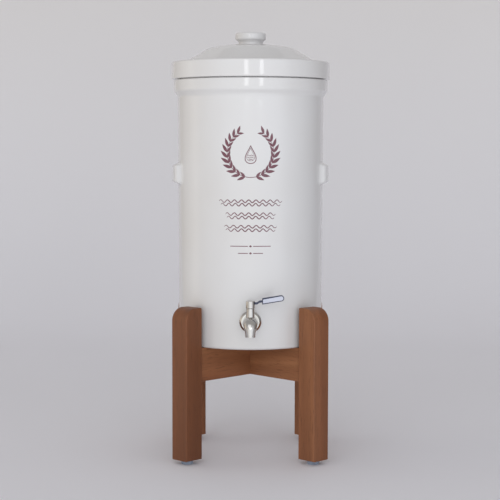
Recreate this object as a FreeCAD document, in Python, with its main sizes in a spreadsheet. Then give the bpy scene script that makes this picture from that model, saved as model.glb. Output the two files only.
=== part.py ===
import FreeCAD, Part
import math
import os
import re
import Sketcher

# Gravity water filter: a glazed ceramic vessel with an upper chamber, two filter candles and a domed lid,
# on a hardwood stand, with a quarter-turn ball tap. Millimetres. Z is up, the floor is at zero, and the
# origin is the middle of the object's outline on the floor. The tap points to -Y.

SIZES = {
    # stand
    "glide_radius": 9.3,
    "glide_height": 7.0,
    "glide_edge": 1.6,
    "nail_radius": 1.2,
    "nail_head_radius": 3.2,
    "nail_head_height": 1.2,
    "nail_length": 20.0,
    "leg_width": 33.0,
    "leg_length": 234.0,
    "leg_gap": 7.5,
    "leg_top_round": 20.0,
    "leg_edge_round": 1.8,
    "rail_height": 52.0,
    "rail_thickness": 22.0,
    "rail_drop": 63.0,
    "rail_edge_round": 1.2,
    "dowel_radius": 4.0,
    "dowel_depth": 15.0,
    "dowel_spacing": 26.0,
    "glue_gap": 0.03,
    # vessel
    "vessel_height": 412.5,
    "base_radius": 113.1,
    "shoulder_flare": 1.9,
    "vessel_wall": 9.0,
    "vessel_floor": 12.0,
    "base_round": 4.0,
    "foot_width": 10.0,
    "foot_recess": 3.0,
    "cove_radius": 14.0,
    "rim_step": 6.4,
    "rim_wall": 8.9,
    "rim_height": 17.0,
    "bevel_height": 8.0,
    "bevel_round": 4.0,
    "rim_edge": 2.0,
    "ledge_depth": 9.0,
    "lug_height": 266.5,
    "lug_setback": 0.1,
    "lug_face": 23.6,
    "lug_root": 34.6,
    "lug_sweep": 48.0,
    "lug_bevel": 6.0,
    "lug_round": 2.4,
    # upper chamber
    "chamber_gap": 1.6,
    "chamber_wall": 7.5,
    "chamber_depth": 210.0,
    "chamber_floor": 8.0,
    "chamber_cove": 10.0,
    "flange_thickness": 8.0,
    "flange_gap": 0.5,
    "candle_offset": 46.0,
    "candle_hole_radius": 6.8,
    # filter candle
    "shell_radius": 25.0,
    "shell_wall": 6.5,
    "shell_length": 168.0,
    "cap_radius": 27.0,
    "cap_height": 12.0,
    "cap_floor": 3.0,
    "cap_gap": 0.3,
    "candle_stem_radius": 6.0,
    "candle_stem_bore": 2.6,
    "candle_stem_reach": 24.0,
    "candle_seal_height": 2.5,
    "candle_seal_radius": 14.0,
    "wing_hub_radius": 10.5,
    "wing_hub_height": 9.0,
    "wing_span": 38.0,
    "wing_thickness": 4.0,
    "wing_height": 12.0,
    "thread_gap": 0.05,
    # lid
    "lid_overhang": 3.1,
    "lid_band": 25.6,
    "lid_wall": 8.0,
    "lid_seat_inset": 3.1,
    "lid_seat_width": 8.3,
    "lid_shadow": 2.8,
    "lid_edge": 1.5,
    "brim_edge": 3.0,
    "spigot_gap": 1.5,
    "spigot_wall": 7.0,
    "spigot_depth": 8.0,
    "dome_foot_radius": 103.5,
    "dome_slope_run": 31.0,
    "dome_angle": 31.0,
    "crown_angle": 12.0,
    "crest_angle": 1.0,
    "dome_round": 37.0,
    "crown_round": 213.0,
    "knob_radius": 24.3,
    "knob_band": 7.5,
    "knob_edge": 3.4,
    "knob_neck_radius": 18.9,
    "knob_neck_height": 2.0,
    "knob_flare": 6.2,
    # tap
    "tap_height": 44.1,
    "saddle_thickness": 3.4,
    "escutcheon_radius": 16.6,
    "escutcheon_thickness": 4.5,
    "escutcheon_bevel": 3.0,
    "seal_radius": 14.5,
    "seal_gap": 0.2,
    "shank_radius": 8.0,
    "shank_bore": 4.6,
    "shank_hole_radius": 8.6,
    "plug_length": 4.0,
    "inner_seal_thickness": 4.0,
    "back_washer_thickness": 1.2,
    "back_nut_width": 24.0,
    "back_nut_thickness": 7.0,
    "shank_tail": 4.0,
    "barrel_radius": 10.2,
    "barrel_edge": 1.0,
    "ball_radius": 7.0,
    "ball_bore": 4.0,
    "ball_gap": 0.05,
    "seat_inner_reach": 4.0,
    "seat_outer_reach": 8.0,
    "seat_fit": 0.05,
    "valve_chamber_radius": 7.4,
    "bend_start": 2.0,
    "bend_radius": 11.0,
    "spout_drop": 8.6,
    "spout_end_radius": 7.85,
    "spout_bore": 4.5,
    "tower_radius": 6.2,
    "tower_height": 22.6,
    "stem_radius": 3.0,
    "stem_gap": 0.04,
    "stem_lift": 0.1,
    "stem_collar_radius": 4.3,
    "stem_collar_height": 2.0,
    "tongue_width": 3.0,
    "tongue_length": 7.0,
    "tongue_depth": 2.2,
    "tongue_gap": 0.05,
    "packing_radius": 4.6,
    "packing_height": 2.0,
    "packing_pitch": 2.1,
    "packing_slack": 0.4,
    "gland_height": 3.5,
    "gland_slot": 1.2,
    "gland_sink": 0.2,
    # lever
    "hub_radius": 6.85,
    "hub_height": 12.0,
    "hub_edge": 0.8,
    "hub_lift": 0.3,
    "drive_width": 4.2,
    "drive_length": 8.0,
    "screw_radius": 1.3,
    "screw_length": 7.0,
    "screw_head_radius": 2.6,
    "screw_head_height": 1.6,
    "arm_thickness": 2.4,
    "arm_height": 3.6,
    "arm_drop": 2.0,
    "arm_root_depth": 2.4,
    "arm_step": 3.0,
    "arm_bend_run": 4.5,
    "arm_bend_angle": 32.0,
    "arm_rise_angle": 8.0,
    "arm_neck_length": 11.5,
    "arm_tongue": 24.0,
    "grip_length": 35.0,
    "grip_root_height": 7.0,
    "grip_tip_height": 9.2,
    "grip_thickness": 6.0,
    "grip_round": 1.0,
    "grip_fit": 0.05,
    "face_margin": 1.3,
    "face_depth": 0.6,
    "face_proud": 0.1,
}

# What follows from the sizes above.
WORKED = {
    "leg_top": "glide_height + leg_length",
    "stand_top": "leg_top - rail_drop",
    "rail_bottom": "stand_top - rail_height",
    "leg_inner": "base_radius + leg_gap",
    "leg_ring_radius": "leg_inner + leg_width / 2",
    "rim_top": "stand_top + vessel_height",
    "shoulder_radius": "base_radius + shoulder_flare",
    "rim_radius": "shoulder_radius + rim_step",
    "mouth_radius": "rim_radius - rim_wall",
    "lid_radius": "rim_radius + lid_overhang",
    "lid_seat_radius": "rim_radius - lid_seat_inset",
    "lug_radius": "lid_radius - lug_setback",
    "ledge_level": "rim_top - ledge_depth",
    "bevel_level": "vessel_height - rim_height - bevel_height",
    "wall_lean": "(shoulder_radius - base_radius) / bevel_level",
    "tap_wall_radius": "base_radius + wall_lean * tap_height",
    "tap_inner_radius": "tap_wall_radius - vessel_wall",
    "chamber_radius": "base_radius - vessel_wall - chamber_gap",
    "chamber_inner": "chamber_radius - chamber_wall",
    "chamber_floor_level": "ledge_level - chamber_depth + chamber_floor",
    "spigot_radius": "chamber_inner - spigot_gap",
    "brim_level": "lid_shadow + lid_band",
    "slope_top_radius": "dome_foot_radius - dome_slope_run",
    "slope_top": "brim_level + dome_slope_run * tan(dome_angle)",
    "crown_radius": "slope_top_radius - dome_round * (sin(dome_angle) - sin(crown_angle))",
    "crown_level": "slope_top + dome_round * (cos(crown_angle) - cos(dome_angle))",
    "crest_radius": "crown_radius - crown_round * (sin(crown_angle) - sin(crest_angle))",
    "crest_level": "crown_level + crown_round * (cos(crest_angle) - cos(crown_angle))",
    "under_round": "dome_round - lid_wall",
    "under_crown_round": "crown_round - lid_wall",
    "axle_radius": "crest_radius - crown_round * sin(crest_angle)",
    "saddle_face": "tap_wall_radius + saddle_thickness",
    "barrel_back": "saddle_face + escutcheon_thickness",
    "valve_reach": "barrel_back + plug_length + seat_outer_reach",
    "bend_reach": "valve_reach + bend_start",
    "spout_reach": "bend_reach + bend_radius",
    "tap_reach": "spout_reach + barrel_radius",
    "tap_level": "stand_top + tap_height",
    "inner_seal_face": "tap_inner_radius - inner_seal_thickness",
    "back_nut_face": "inner_seal_face - back_washer_thickness",
    "shank_end": "back_nut_face - back_nut_thickness - shank_tail",
    "stem_foot": "valve_chamber_radius + stem_lift",
    "packing_floor": "tower_height - gland_sink - gland_height - 2 * packing_pitch - packing_slack",
    "hub_foot": "tower_height + hub_lift",
    "hub_top": "hub_foot + hub_height",
    "drive_top": "hub_foot + drive_length",
    "arm_top": "hub_top - arm_drop",
    "arm_foot": "arm_top - arm_height",
    "arm_straight_reach": "hub_radius + arm_step",
    "arm_bend_reach": "arm_straight_reach + arm_bend_run",
    "arm_bend_rise": "arm_bend_run * tan(arm_bend_angle)",
    "grip_reach": "hub_radius + arm_neck_length",
    "grip_end": "grip_reach + grip_length",
    "grip_root_level": "(arm_top + arm_foot) / 2 + arm_bend_rise"
                       " + (grip_reach - arm_bend_reach) * tan(arm_rise_angle)",
    "grip_end_level": "grip_root_level + grip_length * tan(arm_rise_angle)",
    "axis_shift": "(tap_reach - lid_radius) / 2",
}

doc = FreeCAD.newDocument("GravityFilter")


def make_sheet(name, cells):
    """A spreadsheet with one named cell to each entry."""
    sheet = doc.addObject("Spreadsheet::Sheet", name)
    for row, (alias, content) in enumerate(cells.items(), start=1):
        sheet.set("A%d" % row, alias)
        sheet.set("B%d" % row, str(content))
        sheet.setAlias("B%d" % row, alias)
    return sheet


def cell_names(text):
    """The expression with each size written as its cell."""
    def cell(match):
        word = match.group(0)
        if word in SIZES:
            return "Sizes." + word
        if word in WORKED:
            return "Worked." + word
        return word
    return re.sub(r"[a-z_]+", cell, text)


sizes = make_sheet("Sizes", SIZES)
doc.recompute()
worked = make_sheet("Worked", {})
for number, (word, formula) in enumerate(WORKED.items(), start=1):
    worked.set("A%d" % number, word)
    worked.set("B%d" % number, "=" + cell_names(formula).replace("Worked.", ""))
    worked.setAlias("B%d" % number, word)
doc.recompute()


def value(text):
    """The number that an expression of sizes gives."""
    return float(sizes.evalExpression(cell_names(text)))


def bind(item, name, text):
    """Ties a property to an expression of sizes."""
    item.setExpression(name, cell_names(text))


def new_body(label):
    body = doc.addObject("PartDesign::Body", "Body_" + label)
    body.Label = label
    return body


def place(item, across="0", along="axis_shift", up="0", turn=None):
    """Puts a piece in the object's frame."""
    if turn is not None:
        item.Placement = FreeCAD.Placement(FreeCAD.Vector(0, 0, 0), turn)
    bind(item, "Placement.Base.x", across)
    bind(item, "Placement.Base.y", along)
    bind(item, "Placement.Base.z", up)


def rotation(axis, degrees):
    return FreeCAD.Rotation(FreeCAD.Vector(*axis), degrees)


# The tap's own frame: X across, Y up, Z outward from the vessel's axis.
OUTWARD = rotation((1, 0, 0), 90)


def new_sketch(body, name, role, lift=None):
    """A sketch on one of the body's own planes, lifted along its normal."""
    sketch = body.newObject("Sketcher::SketchObject", name)
    plane = next(item for item in body.Origin.OriginFeatures if item.Role == role)
    sketch.AttachmentSupport = (plane, "")
    sketch.MapMode = "FlatFace"
    if lift is not None:
        bind(sketch, "AttachmentOffset.Base.z", lift)
    return sketch


def pin_point(sketch, edge, end, tag, x_text, y_text):
    """Holds one point of a sketch at two expressions."""
    for kind, text, axis, letter in (("DistanceX", x_text, -2, "x"), ("DistanceY", y_text, -1, "y")):
        amount = value(text)
        if text == "0":
            sketch.addConstraint(Sketcher.Constraint("PointOnObject", edge, end, axis))
            continue
        held = sketch.addConstraint(Sketcher.Constraint(kind, -1, 1, edge, end, amount))
        sketch.renameConstraint(held, letter + tag)
        bind(sketch, "Constraints." + letter + tag, text)


def outline(sketch, steps):
    """A closed outline. A step is (x, y), reached by a line, or (x, y, radius, turn), reached by an
    arc that turns left (+1) or right (-1)."""
    spots = [FreeCAD.Vector(value(step[0]), value(step[1]), 0) for step in steps]
    first = sketch.GeometryCount
    arrive = []
    leave = []
    for index, step in enumerate(steps):
        start = spots[index - 1]
        end = spots[index]
        if len(step) == 2:
            sketch.addGeometry(Part.LineSegment(start, end), False)
            leave.append(1)
            arrive.append(2)
            continue
        radius = value(step[2])
        chord = end - start
        side = FreeCAD.Vector(chord.y, -chord.x, 0).normalize() * step[3]
        sag = radius - math.sqrt(max(radius ** 2 - (chord.Length / 2) ** 2, 0))
        sketch.addGeometry(Part.Arc(start, (start + end) / 2 + side * sag, end), False)
        leave.append(1 if step[3] > 0 else 2)
        arrive.append(2 if step[3] > 0 else 1)
        held = sketch.addConstraint(Sketcher.Constraint("Radius", first + index, radius))
        sketch.renameConstraint(held, "radius_%d" % (first + index))
        bind(sketch, "Constraints.radius_%d" % (first + index), step[2])
    count = len(steps)
    for index in range(count):
        following = (index + 1) % count
        sketch.addConstraint(Sketcher.Constraint(
            "Coincident", first + index, arrive[index], first + following, leave[following]))
        pin_point(sketch, first + index, arrive[index], "_%d" % (first + index), *steps[index][:2])


def circle(sketch, x_text, y_text, radius_text):
    """A circle with its centre and radius tied to sizes."""
    centre = FreeCAD.Vector(value(x_text), value(y_text), 0)
    edge = sketch.addGeometry(Part.Circle(centre, FreeCAD.Vector(0, 0, 1), value(radius_text)), False)
    held = sketch.addConstraint(Sketcher.Constraint("Radius", edge, value(radius_text)))
    sketch.renameConstraint(held, "radius_%d" % edge)
    bind(sketch, "Constraints.radius_%d" % edge, radius_text)
    if x_text == "0" and y_text == "0":
        sketch.addConstraint(Sketcher.Constraint("Coincident", edge, 3, -1, 1))
    else:
        pin_point(sketch, edge, 3, "_%d" % edge, x_text, y_text)


def rectangle(sketch, left, bottom, right, top):
    outline(sketch, [(left, bottom), (right, bottom), (right, top), (left, top)])


def feature(body, kind, name, sketch, **texts):
    """A feature made from a sketch, with its sizes tied to expressions."""
    made = body.newObject("PartDesign::" + kind, name)
    made.Profile = sketch
    for prop, text in texts.items():
        bind(made, prop, text)
    return made


def turned(body, steps, name="Turned"):
    """A solid of revolution about the upright axis of its sketch."""
    sketch = new_sketch(body, name + "Profile", "XZ_Plane")
    outline(sketch, steps)
    made = feature(body, "Revolution", name, sketch)
    made.ReferenceAxis = (sketch, ["V_Axis"])
    made.Angle = 360
    return made


def groove(body, steps, name):
    """A turned cut about the upright axis of its sketch."""
    sketch = new_sketch(body, name + "Profile", "XZ_Plane")
    outline(sketch, steps)
    made = feature(body, "Groove", name, sketch)
    made.ReferenceAxis = (sketch, ["V_Axis"])
    made.Angle = 360
    return made


def ring_steps(inner, outer, bottom, top):
    return [(inner, bottom), (outer, bottom), (outer, top), (inner, top)]


def pad(body, name, sketch, length, middle=False, back=False):
    made = feature(body, "Pad", name, sketch, Length=length)
    made.Midplane = middle
    made.Reversed = back
    return made


def pocket(body, name, sketch, length, middle=False, back=False):
    """A cut, checked to take material away."""
    doc.recompute()
    before = body.Shape.Volume
    made = feature(body, "Pocket", name, sketch, Length=length)
    made.Midplane = middle
    made.Reversed = back
    doc.recompute()
    if made.Shape.Volume >= before:
        raise RuntimeError("%s cuts nothing in %s" % (name, body.Label))
    return made


def soften(body, name, kind, size, chosen):
    """A fillet or chamfer on the tip's edges that the test picks."""
    doc.recompute()
    base = body.Tip
    names = ["Edge%d" % (i + 1) for i, edge in enumerate(base.Shape.Edges) if chosen(edge)]
    if not names:
        raise RuntimeError("no edge for %s on %s" % (name, body.Label))
    made = body.newObject("PartDesign::" + kind, name)
    made.Base = (base, names)
    bind(made, "Radius" if kind == "Fillet" else "Size", size)
    doc.recompute()
    return made


def near(one, other, slack=0.01):
    return abs(one - other) < slack


def is_line_along(edge, axis):
    """Whether an edge is straight and runs along the named axis."""
    if edge.Curve.TypeId != "Part::GeomLine":
        return False
    box = edge.BoundBox
    spans = {"x": box.XLength, "y": box.YLength, "z": box.ZLength}
    return all(near(span, 0) != (name == axis) for name, span in spans.items())


def circle_at(edge, radius, height=None):
    """Whether an edge is a round of a radius about the body's upright axis."""
    curve = edge.Curve
    if curve.TypeId != "Part::GeomCircle" or not near(curve.Radius, radius):
        return False
    return height is None or near(curve.Center.z, height)


def group_of(label, pieces):
    """Several alike solids that share one node."""
    joined = doc.addObject("Part::Compound", "Group_" + label)
    joined.Label = label
    joined.Links = pieces
    return joined


CORNERS = {
    "front_left": 225,
    "front_right": 315,
    "back_right": 45,
    "back_left": 135,
}


def corner_place(item, bearing, radius, up):
    """Puts a piece at one corner of the stand, its X pointing away from the middle."""
    place(item, "(%s) * cos(%d)" % (radius, bearing),
          "axis_shift + (%s) * sin(%d)" % (radius, bearing), up, rotation((0, 0, 1), bearing))


def make_leg(label, bearing):
    body = new_body(label)
    side = new_sketch(body, "SideOutline", "XZ_Plane")
    half = "leg_width / 2"
    outline(side, [
        ("-" + half, "0"),
        (half, "0"),
        (half, "leg_length - leg_top_round"),
        (half + " - leg_top_round", "leg_length", "leg_top_round", 1),
        ("-" + half, "leg_length"),
    ])
    pad(body, "Post", side, "leg_width", middle=True)
    holes = new_sketch(body, "DowelHoles", "YZ_Plane", "-" + half)
    for sign in ("-", "+"):
        circle(holes, "0", "leg_length - rail_drop - rail_height / 2 %s dowel_spacing / 2" % sign,
               "dowel_radius + glue_gap")
    pocket(body, "DowelBores", holes, "dowel_depth + glue_gap", back=True)
    nail = new_sketch(body, "NailHole", "XY_Plane")
    circle(nail, "0", "0", "nail_radius + glue_gap")
    pocket(body, "NailBore", nail, "nail_length + glue_gap - glide_height / 2", back=True)
    wide = value("leg_width") / 2

    def outer_edge(edge):
        box = edge.BoundBox
        at_side = near(abs(box.YMin), wide) and near(box.YMin, box.YMax)
        return at_side or (is_line_along(edge, "y") and near(box.YLength, 2 * wide)
                           and not near(box.XMin, wide) and box.ZMax > wide)

    soften(body, "LongEdges", "Fillet", "leg_edge_round", outer_edge)
    corner_place(body, bearing, "leg_ring_radius", "glide_height")
    return body


def make_glide(label, bearing):
    body = new_body(label)
    turned(body, [
        ("nail_radius + glue_gap", "nail_head_height + glue_gap + glide_edge"),
        ("nail_head_radius + glue_gap", "nail_head_height + glue_gap + glide_edge"),
        ("nail_head_radius + glue_gap", "0"),
        ("glide_radius - glide_edge", "0"),
        ("glide_radius", "glide_edge", "glide_edge", 1),
        ("glide_radius", "glide_height - glide_edge"),
        ("glide_radius - glide_edge", "glide_height", "glide_edge", 1),
        ("nail_radius + glue_gap", "glide_height"),
    ])
    corner_place(body, bearing, "leg_ring_radius", "0")
    return body


def make_nail(name, bearing):
    body = new_body(name)
    turned(body, [
        ("0", "glide_edge"),
        ("nail_head_radius", "glide_edge"),
        ("nail_head_radius", "glide_edge + nail_head_height"),
        ("nail_radius", "glide_edge + nail_head_height"),
        ("nail_radius", "glide_edge + nail_length"),
        ("0", "glide_edge + nail_length"),
    ])
    corner_place(body, bearing, "leg_ring_radius", "0")
    return body


def make_dowel(name, bearing, sign):
    body = new_body(name)
    ends = new_sketch(body, "DowelEnd", "YZ_Plane")
    circle(ends, "0", "0", "dowel_radius")
    pad(body, "Dowel", ends, "2 * dowel_depth", middle=True)
    corner_place(body, bearing, "leg_inner",
                 "stand_top - rail_height / 2 %s dowel_spacing / 2" % sign)
    return body


def make_rail(label, bearing, notch_bottom, notch_top):
    """One rail of the cross, half-lapped at the middle, with dowel holes in its ends."""
    body = new_body(label)
    length = "leg_inner"
    face = new_sketch(body, "RailFace", "XZ_Plane")
    rectangle(face, "-(%s)" % length, "0", length, "rail_height")
    pad(body, "Rail", face, "rail_thickness", middle=True)
    lap = new_sketch(body, "LapOutline", "XZ_Plane")
    rectangle(lap, "-rail_thickness / 2 - glue_gap", notch_bottom, "rail_thickness / 2 + glue_gap",
              notch_top)
    pocket(body, "Lap", lap, "2 * rail_thickness", middle=True)
    for end, sign, back in (("LeftEnd", "-", False), ("RightEnd", "", True)):
        holes = new_sketch(body, end + "Holes", "YZ_Plane", "%s(%s)" % (sign, length))
        for offset in ("-", "+"):
            circle(holes, "0", "rail_height / 2 %s dowel_spacing / 2" % offset,
                   "dowel_radius + glue_gap")
        pocket(body, end + "Bores", holes, "dowel_depth + glue_gap", back=not back)
    reach = value(length)

    def long_edge(edge):
        box = edge.BoundBox
        return is_line_along(edge, "x") and max(abs(box.XMin), abs(box.XMax)) > reach - 1

    soften(body, "LongEdges", "Fillet", "rail_edge_round", long_edge)
    place(body, "0", "axis_shift", "rail_bottom", rotation((0, 0, 1), bearing))
    return body


def make_filter_body():
    body = new_body("filter_body")
    outer_lean = "base_radius + wall_lean * base_round"
    turned(body, [
        ("0", "foot_recess"),
        ("base_radius - base_round - foot_width", "foot_recess"),
        ("base_radius - base_round - foot_width", "0"),
        ("base_radius - base_round", "0"),
        (outer_lean, "base_round", "base_round + 0.02", 1),
        ("shoulder_radius", "bevel_level"),
        ("rim_radius", "bevel_level + bevel_height"),
        ("rim_radius", "vessel_height - rim_edge"),
        ("rim_radius - rim_edge", "vessel_height", "rim_edge", 1),
        ("mouth_radius", "vessel_height"),
        ("mouth_radius", "vessel_height - ledge_depth"),
        ("shoulder_radius - vessel_wall", "vessel_height - ledge_depth"),
        ("base_radius - vessel_wall", "vessel_floor + cove_radius"),
        ("base_radius - vessel_wall - cove_radius", "vessel_floor", "cove_radius", -1),
        ("0", "vessel_floor"),
    ], "Pot")
    bevel = value("bevel_level")
    rim = value("bevel_level + bevel_height")
    soften(body, "BevelRounds", "Fillet", "bevel_round",
           lambda edge: circle_at(edge, value("shoulder_radius"), bevel)
           or circle_at(edge, value("rim_radius"), rim))
    for side, sign in (("Left", "-"), ("Right", "")):
        section = new_sketch(body, side + "LugSection", "XZ_Plane")
        root = sign + "(shoulder_radius - vessel_wall / 2)"
        face = sign + "lug_radius"
        outline(section, [
            (root, "lug_height - lug_root / 2"),
            (face, "lug_height - lug_face / 2"),
            (face, "lug_height + lug_face / 2"),
            (root, "lug_height + lug_root / 2"),
        ])
        lug = feature(body, "Revolution", side + "Lug", section, Angle="lug_sweep")
        lug.ReferenceAxis = (section, ["V_Axis"])
        lug.Midplane = True
    tall = value("lug_face")
    out = value("lug_radius")

    def lug_end(edge):
        box = edge.BoundBox
        return (is_line_along(edge, "z") and near(box.ZLength, tall)
                and near(math.hypot(box.XMin, box.YMin), out))

    soften(body, "LugEnds", "Chamfer", "lug_bevel", lug_end)
    middle = value("lug_height")

    def lug_rim(edge):
        box = edge.BoundBox
        high = value("lug_root") / 2
        point = edge.valueAt((edge.FirstParameter + edge.LastParameter) / 2)
        spread = box.ZMax - middle < high and middle - box.ZMin < high
        return spread and math.hypot(point.x, point.y) > value("(shoulder_radius + lug_radius) / 2")

    soften(body, "LugRounds", "Fillet", "lug_round", lug_rim)
    hole = new_sketch(body, "TapHole", "XZ_Plane")
    circle(hole, "0", "tap_height", "shank_hole_radius")
    pocket(body, "TapBore", hole, "base_radius + vessel_wall", back=True)
    place(body, up="stand_top")
    return body


def make_upper_chamber():
    body = new_body("upper_chamber")
    turned(body, [
        ("0", "-chamber_depth"),
        ("chamber_radius - chamber_cove", "-chamber_depth"),
        ("chamber_radius", "-chamber_depth + chamber_cove", "chamber_cove", 1),
        ("chamber_radius", "0"),
        ("mouth_radius - flange_gap", "0"),
        ("mouth_radius - flange_gap", "flange_thickness"),
        ("chamber_inner", "flange_thickness"),
        ("chamber_inner", "-chamber_depth + chamber_floor + chamber_cove"),
        ("chamber_inner - chamber_cove", "-chamber_depth + chamber_floor", "chamber_cove", -1),
        ("0", "-chamber_depth + chamber_floor"),
    ], "Insert")
    rim = value("flange_thickness")
    soften(body, "MouthRounds", "Fillet", "chamber_floor / 4",
           lambda edge: circle_at(edge, value("mouth_radius - flange_gap"), rim)
           or circle_at(edge, value("chamber_inner"), rim))
    holes = new_sketch(body, "CandleHoles", "XY_Plane", "-chamber_depth")
    for sign in ("-", ""):
        circle(holes, sign + "candle_offset", "0", "candle_hole_radius")
    pocket(body, "CandleBores", holes, "chamber_floor", back=True)
    place(body, up="ledge_level")
    return body


def make_candle(name, sign):
    """The four pieces of one filter candle, upright on the chamber's floor."""
    across = sign + "candle_offset"
    seal = new_body("candle_seal_" + name)
    turned(seal, ring_steps("candle_stem_radius + thread_gap", "candle_seal_radius", "0",
                            "candle_seal_height"))
    mount = new_body("candle_mount_" + name)
    turned(mount, [
        ("candle_stem_bore", "-chamber_floor - candle_stem_reach"),
        ("candle_stem_radius", "-chamber_floor - candle_stem_reach"),
        ("candle_stem_radius", "candle_seal_height"),
        ("cap_radius - cap_floor", "candle_seal_height"),
        ("cap_radius", "candle_seal_height + cap_floor", "cap_floor", 1),
        ("cap_radius", "candle_seal_height + cap_height"),
        ("shell_radius + cap_gap", "candle_seal_height + cap_height"),
        ("shell_radius + cap_gap", "candle_seal_height + cap_floor"),
        ("candle_stem_bore", "candle_seal_height + cap_floor"),
    ])
    shell = new_body("candle_shell_" + name)
    foot = "candle_seal_height + cap_floor"
    inner = "shell_radius - shell_wall"
    turned(shell, [
        (inner, foot),
        ("shell_radius", foot),
        ("shell_radius", foot + " + shell_length - shell_radius"),
        ("0", foot + " + shell_length", "shell_radius", 1),
        ("0", foot + " + shell_length - shell_wall"),
        (inner, foot + " + shell_length - shell_radius", inner, -1),
    ])
    nut = new_body("wing_nut_" + name)
    top = "-chamber_floor"
    wings = new_sketch(nut, "WingOutline", "XZ_Plane")
    outline(wings, [
        ("-wing_span / 2 + wing_thickness", top + " - wing_height", "wing_thickness", 1),
        ("wing_span / 2 - wing_thickness", top + " - wing_height"),
        ("wing_span / 2", top + " - wing_height + wing_thickness", "wing_thickness", 1),
        ("wing_hub_radius", top + " - wing_thickness"),
        ("-wing_hub_radius", top + " - wing_thickness"),
        ("-wing_span / 2", top + " - wing_height + wing_thickness"),
    ])
    pad(nut, "Wings", wings, "wing_thickness", middle=True)
    turned(nut, ring_steps("0", "wing_hub_radius", top + " - wing_hub_height", top), "Hub")
    bore = new_sketch(nut, "ThreadBore", "XY_Plane")
    circle(bore, "0", "0", "candle_stem_radius + thread_gap")
    pocket(nut, "Thread", bore, "4 * wing_height", middle=True)
    for piece in (seal, mount, shell, nut):
        place(piece, across, up="chamber_floor_level")
    return [seal, mount, shell, nut]


def make_lid():
    body = new_body("lid")
    top = "crest_level + knob_neck_height + knob_flare + knob_band + knob_edge"
    under = "brim_level - lid_wall / cos(dome_angle)"
    flare = "knob_radius - knob_neck_radius"
    turned(body, [
        ("lid_seat_radius - lid_seat_width", "0"),
        ("lid_seat_radius", "0"),
        ("lid_seat_radius", "lid_shadow"),
        ("lid_radius - lid_edge", "lid_shadow"),
        ("lid_radius", "lid_shadow + lid_edge", "lid_edge", 1),
        ("lid_radius", "brim_level - brim_edge"),
        ("lid_radius - brim_edge", "brim_level", "brim_edge", 1),
        ("dome_foot_radius", "brim_level"),
        ("slope_top_radius", "slope_top"),
        ("crown_radius", "crown_level", "dome_round", 1),
        ("crest_radius", "crest_level", "crown_round", 1),
        ("knob_neck_radius", "crest_level + knob_neck_height", "knob_neck_height", -1),
        ("knob_radius", "crest_level + knob_neck_height + knob_flare", "knob_flare * 1.1", -1),
        ("knob_radius", "crest_level + knob_neck_height + knob_flare + knob_band"),
        ("knob_radius - knob_edge", top, "knob_edge", 1),
        ("0", top),
        ("0", "crest_level - lid_wall + crown_round * (1 - cos(crest_angle))"),
        ("axle_radius", "crest_level - lid_wall + crown_round * (1 - cos(crest_angle))"),
        ("crown_radius - lid_wall * sin(crown_angle)", "crown_level - lid_wall * cos(crown_angle)",
         "under_crown_round", -1),
        ("slope_top_radius - lid_wall * sin(dome_angle)", "slope_top - lid_wall * cos(dome_angle)",
         "under_round", -1),
        ("spigot_radius - spigot_wall",
         under + " + (dome_foot_radius - spigot_radius + spigot_wall) * tan(dome_angle)"),
        ("spigot_radius - spigot_wall", "-spigot_depth"),
        ("spigot_radius", "-spigot_depth"),
        ("spigot_radius", "brim_level - lid_wall"),
        ("lid_seat_radius - lid_seat_width", "brim_level - lid_wall"),
    ], "Cover")
    place(body, up="rim_top")
    return body


def make_saddle(label, face, back, wall_radius, outside):
    """A rubber seal, flat on one side and hollowed to the vessel's wall on the other."""
    body = new_body(label)
    turned(body, ring_steps("shank_radius + seal_gap", "seal_radius", back, face), "Ring")
    wall = new_sketch(body, "WallCurve", "XZ_Plane")
    circle(wall, "0", "0", wall_radius)
    if not outside:
        circle(wall, "0", "0", "2 * " + wall_radius)
    pocket(body, "WallHollow", wall, "4 * seal_radius", middle=True)
    place(body, up="tap_level", turn=OUTWARD)
    return body


def make_tap_fittings():
    """What clamps the tap to the wall: seals, polished collar, washer and back nut."""
    pieces = []
    pieces.append(make_saddle("outer_seal", "saddle_face", "tap_wall_radius - saddle_thickness",
                              "tap_wall_radius + seal_gap", True))
    pieces.append(make_saddle("inner_seal", "tap_inner_radius + saddle_thickness", "inner_seal_face",
                              "tap_inner_radius - seal_gap", False))
    collar = new_body("tap_collar")
    turned(collar, [
        ("shank_radius + glue_gap", "saddle_face"),
        ("escutcheon_radius", "saddle_face"),
        ("escutcheon_radius", "saddle_face + escutcheon_thickness - escutcheon_bevel"),
        ("escutcheon_radius - escutcheon_bevel", "barrel_back"),
        ("shank_radius + glue_gap", "barrel_back"),
    ])
    place(collar, up="tap_level", turn=OUTWARD)
    pieces.append(collar)
    washer = new_body("back_washer")
    turned(washer, ring_steps("shank_radius + glue_gap", "seal_radius", "back_nut_face",
                              "inner_seal_face"))
    place(washer, up="tap_level", turn=OUTWARD)
    pieces.append(washer)
    nut = new_body("back_nut")
    corner = "back_nut_width / 2 / cos(30)"
    flats = new_sketch(nut, "NutFlats", "XY_Plane", "back_nut_face - back_nut_thickness")
    outline(flats, [("%s * cos(%d)" % (corner, angle), "%s * sin(%d)" % (corner, angle))
                    for angle in range(30, 390, 60)])
    pad(nut, "Hexagon", flats, "back_nut_thickness")
    bore = new_sketch(nut, "NutBore", "XY_Plane", "back_nut_face")
    circle(bore, "0", "0", "shank_radius + thread_gap")
    pocket(nut, "NutThread", bore, "2 * back_nut_thickness", middle=True)
    place(nut, up="tap_level", turn=OUTWARD)
    pieces.append(nut)
    return pieces


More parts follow.
